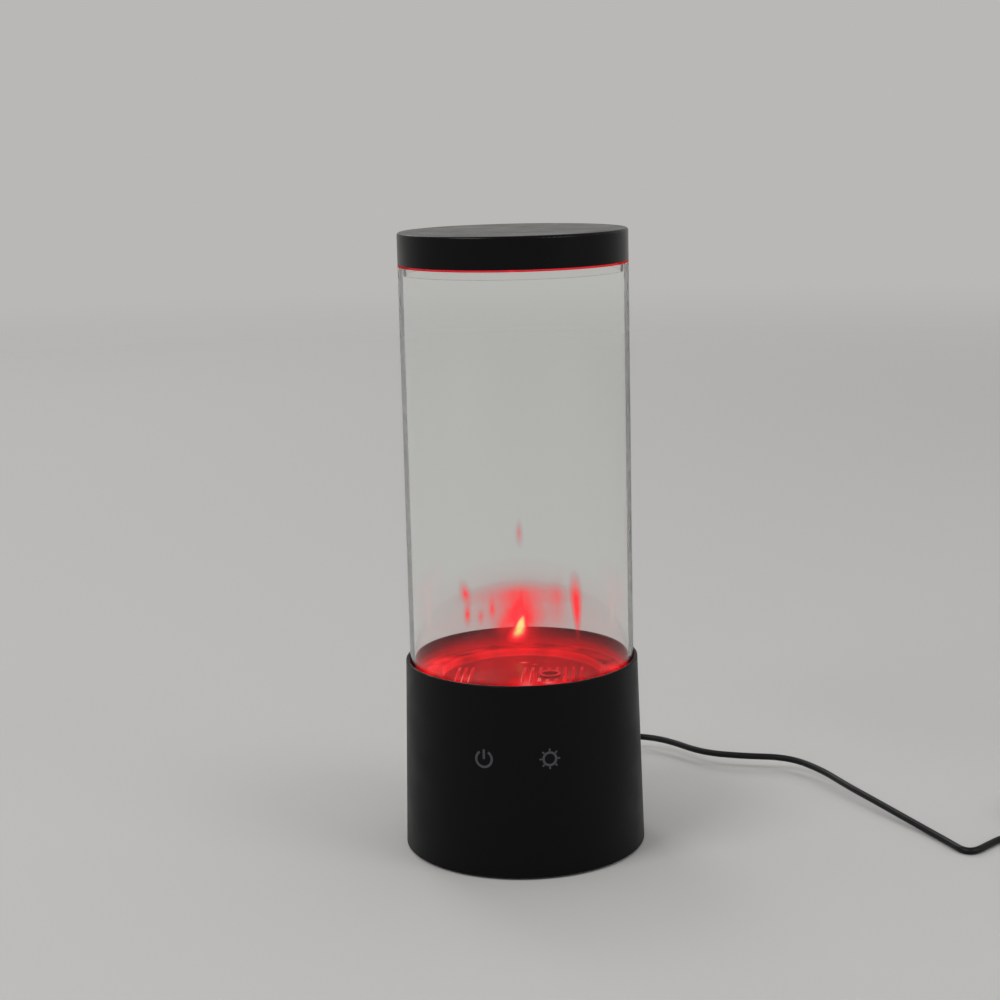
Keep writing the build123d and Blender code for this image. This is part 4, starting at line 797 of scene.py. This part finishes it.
# Opaque plastics and the like. The grain is in millimetres and the bump is the grain's strength.
plastics = {
    # Spark-eroded mould: a soft sheen
    "satinBlackAbs": {"colour": "#040405", "rough": 0.42, "grain": 0.5, "bump": 0.25, "specular": 0.12},
    # Polished mould: sharper glints
    "smoothBlackAbs": {"colour": "#030304", "rough": 0.26, "grain": 0.5, "bump": 0.04, "specular": 0.14},
    # Coarse mould: scatters light, so the underside looks greyer
    "roughBlackAbs": {"colour": "#0e0e0f", "rough": 0.6, "grain": 0.4, "bump": 0.5},
    # Die-cut sheet: no glint
    "mattRubber": {"colour": "#141414", "rough": 0.8, "grain": 0.3, "bump": 0.5},
    # Extruded: a dull gleam along the lead
    "softBlackPvc": {"colour": "#060607", "rough": 0.42, "grain": 0.6, "bump": 0.2, "specular": 0.25},
    # Extruded sleeve on hook-up wire: plain red with a soft gleam
    "thinRedPvc": {"colour": "#8a1210", "rough": 0.4, "grain": 0.4, "bump": 0.15},
    # Moulded: dull and even
    "greyNylon": {"colour": "#8d8d8a", "rough": 0.5, "grain": 0.5, "bump": 0.2},
    # Moulded, undyed: a warm white
    "whiteNylon": {"colour": "#dcdad2", "rough": 0.45, "grain": 0.5, "bump": 0.15, "share": 0.03},
    # Pressed and fired: dark grey with a fine grit
    "sinteredFerrite": {"colour": "#2b2b2d", "rough": 0.55, "grain": 0.25, "bump": 0.5},
    # Turned: a slight gleam
    "blackAcetal": {"colour": "#1b1b1d", "rough": 0.38, "grain": 0.6, "bump": 0.1},
    # Glass laminate under solder resist: a wet-looking green
    "greenLaminate": {"colour": "#0f4a2a", "rough": 0.3, "grain": 0.35, "bump": 0.2, "coat": 0.4},
    # Glass laminate under white resist: sends the lamps' light up
    "whiteLaminate": {"colour": "#e4e2df", "rough": 0.35, "grain": 0.35, "bump": 0.2, "coat": 0.3,
                      "share": 0.03},
    # Transfer moulded: a dull near-black
    "mouldedEpoxy": {"colour": "#17171a", "rough": 0.5, "grain": 0.3, "bump": 0.3},
    # Cut foam: open and matt
    "conductiveFoam": {"colour": "#3a3a3c", "rough": 0.9, "grain": 0.6, "bump": 0.9},
    # Woven strap: dull black
    "nylonStrap": {"colour": "#121213", "rough": 0.5, "grain": 0.4, "bump": 0.2},
    # Thin pad-printed ink: matt, hardly lighter than the wall
    "greyPadInk": {"colour": "#37373b", "rough": 0.55, "grain": 0.2, "bump": 0.2, "share": 0.15},
}
metals = {
    # Bright zinc on steel: a bluish shine
    "zincPlatedSteel": {"colour": "#b9bcc0", "rough": 0.32, "grain": 0.4, "bump": 0.1},
    # Deep-drawn sheet: long soft glints
    "drawnSteel": {"colour": "#c2c4c6", "rough": 0.28, "grain": 1.2, "bump": 0.1},
    # Nickel on steel: a warm, sharp shine
    "nickelPlate": {"colour": "#c9c5bc", "rough": 0.16, "grain": 0.6, "bump": 0.05},
}
for make, kinds in ((mouldedPlastic, plastics), (plainMetal, metals)):
    for name, kind in kinds.items():
        make(name, **kind)
print("materials made:", len(materials))

finishes = {
    "base_housing": "satinBlackAbs",
    "bottom_cover": "roughBlackAbs",
    "foot_pads": "mattRubber",
    "cover_screws": "zincPlatedSteel",
    "tank_tube": "castAcrylic",
    "tank_floor": "satinPolycarbonate",
    "tank_seal": "clearSilicone",
    "volute_plate": "paintedGlowPolycarbonate",
    "pump_cover": "polishedPolycarbonate",
    "impeller": "whiteNylon",
    "impeller_magnet": "sinteredFerrite",
    "impeller_pin": "zincPlatedSteel",
    "drive_disc": "blackAcetal",
    "drive_magnets": "nickelPlate",
    "motor_shaft": "zincPlatedSteel",
    "motor_can": "drawnSteel",
    "motor_end_cap": "whiteNylon",
    "motor_screws": "zincPlatedSteel",
    "motor_carrier": "greyNylon",
    "carrier_screws": "zincPlatedSteel",
    "led_board": "whiteLaminate",
    "leds": "litEpoxyLens",
    "main_board": "greenLaminate",
    "controller_chip": "mouldedEpoxy",
    "power_capacitor": "drawnSteel",
    "wire_sockets": "whiteNylon",
    "board_screws": "zincPlatedSteel",
    "touch_board": "greenLaminate",
    "touch_pad_power": "conductiveFoam",
    "touch_pad_light": "conductiveFoam",
    "motor_wires": "thinRedPvc",
    "light_wires": "thinRedPvc",
    "touch_wires": "thinRedPvc",
    "lid_cap": "smoothBlackAbs",
    "lid_seal": "clearSilicone",
    "strain_relief": "softBlackPvc",
    "inner_lead": "softBlackPvc",
    "coil_tie": "nylonStrap",
    "usb_plug_body": "softBlackPvc",
    "usb_plug_shell": "nickelPlate",
    "usb_plug_tongue": "whiteNylon",
}
for name, kind in finishes.items():
    finishPiece(kind, parts[name])
finishPiece("softBlackPvc", leadPiece)
print("finishes given to", len(finishes), "parts")

# Touch marks: a power sign and a sun, pad-printed on the drafted wall. Turn and gap are in degrees.
marks = {
    "material": "greyPadInk",
    "turn": 15.55,  # from the front to each side
    "height": 51.8,
    "size": 7.8,
    "line": 1.0,
    "proud": 0.06,
    "sunk": 0.05,
    "wallFoot": 52.2,  # the wall's radius at its foot
    "wallTop": 50.0,  # and at its top
    "wallHeight": 82.9,
    "gap": 32.0,  # half of the power sign's opening
    "barFoot": 0.1,  # share of the ring's radius
    "barRise": 0.3,  # share of the line, above the ring
    "rays": 8,
    "rayLength": 0.95,
    "sunSmaller": 0.75,  # share of a ray's length off the ring's radius
    "rayStart": 0.9,  # share of the line, outside the sun's ring
    "rayShare": 0.5,  # straight share of a ray, the rest is its round ends
    "rayLine": 0.75,  # share of the line
    "steps": 40,
    "endSteps": 6,
    "weld": 0.0005,
}


def arcStrip(radius, line, start, end, steps):  # pairs of points along a round line, in degrees
    pairs = []
    for k in range(steps + 1):
        angle = math.radians(start + (end - start) * k / steps)
        way = Vector((math.cos(angle), math.sin(angle)))
        pairs.append((way * (radius - line / 2), way * (radius + line / 2)))
    return pairs


def barStrip(start, end, line, steps):  # pairs of points along a straight bar with round ends
    way = (end - start).normalized()
    side = Vector((-way.y, way.x)) * line / 2
    pairs = []
    for tip, sign in ((start, -1), (end, 1)):
        for k in range(steps + 1):
            bend = math.pi / 2 * (1 - k / steps if sign < 0 else k / steps)
            middle = tip + sign * way * line / 2 * math.sin(bend)
            pairs.append((middle + side * math.cos(bend), middle - side * math.cos(bend)))
    return pairs


def onWall(spec, turn, point, lift):  # a point of the flat sign laid on the drafted wall
    height = spec["height"] + point.y
    radius = spec["wallFoot"] + (spec["wallTop"] - spec["wallFoot"]) * height / spec["wallHeight"]
    angle = math.radians(turn - 90.0) + point.x / radius
    radius += lift
    return Vector((mm(radius * math.cos(angle)), mm(radius * math.sin(angle)), mm(height)))


def makeMark(spec, name, turn, strips):
    form = bmesh.new()
    for strip in strips:
        rows = []
        for left, right in strip:
            rows.append([form.verts.new(onWall(spec, turn, point, lift))
                         for point, lift in ((left, spec["proud"]), (right, spec["proud"]),
                                             (right, -spec["sunk"]), (left, -spec["sunk"]))])
        for here, there in zip(rows, rows[1:]):
            for k in range(4):
                form.faces.new((here[k], here[(k + 1) % 4], there[(k + 1) % 4], there[k]))
        form.faces.new(rows[0])
        form.faces.new(list(reversed(rows[-1])))
    bmesh.ops.remove_doubles(form, verts=form.verts, dist=mm(spec["weld"]))
    bmesh.ops.dissolve_degenerate(form, edges=form.edges, dist=mm(spec["weld"]))
    bmesh.ops.recalc_face_normals(form, faces=form.faces)
    mesh = bpy.data.meshes.new(name)
    form.to_mesh(mesh)
    form.free()
    piece = bpy.data.objects.new(name, mesh)
    scene.collection.objects.link(piece)
    finishPiece(spec["material"], piece)
    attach(piece, "lamp")


def makeMarks(spec):
    line = spec["line"]
    radius = spec["size"] / 2 - line / 2
    ring = arcStrip(radius, line, 90 + spec["gap"], 90 + 360 - spec["gap"], spec["steps"])
    bar = barStrip(Vector((0, radius * spec["barFoot"])), Vector((0, radius + line * spec["barRise"])), line,
                   spec["endSteps"])
    makeMark(spec, "power_mark", -spec["turn"], [ring, bar])
    sunRadius = radius - spec["rayLength"] * spec["sunSmaller"]
    sun = [arcStrip(sunRadius, line, 0, 360, spec["steps"])]
    start = sunRadius + line * spec["rayStart"]
    end = start + spec["rayLength"] * spec["rayShare"]
    for k in range(spec["rays"]):
        angle = math.radians(k * 360 / spec["rays"])
        way = Vector((math.cos(angle), math.sin(angle)))
        sun.append(barStrip(way * start, way * end, line * spec["rayLine"], spec["endSteps"]))
    makeMark(spec, "sun_mark", spec["turn"], sun)


makeMarks(marks)
print("touch marks printed")

bpy.context.view_layer.update()
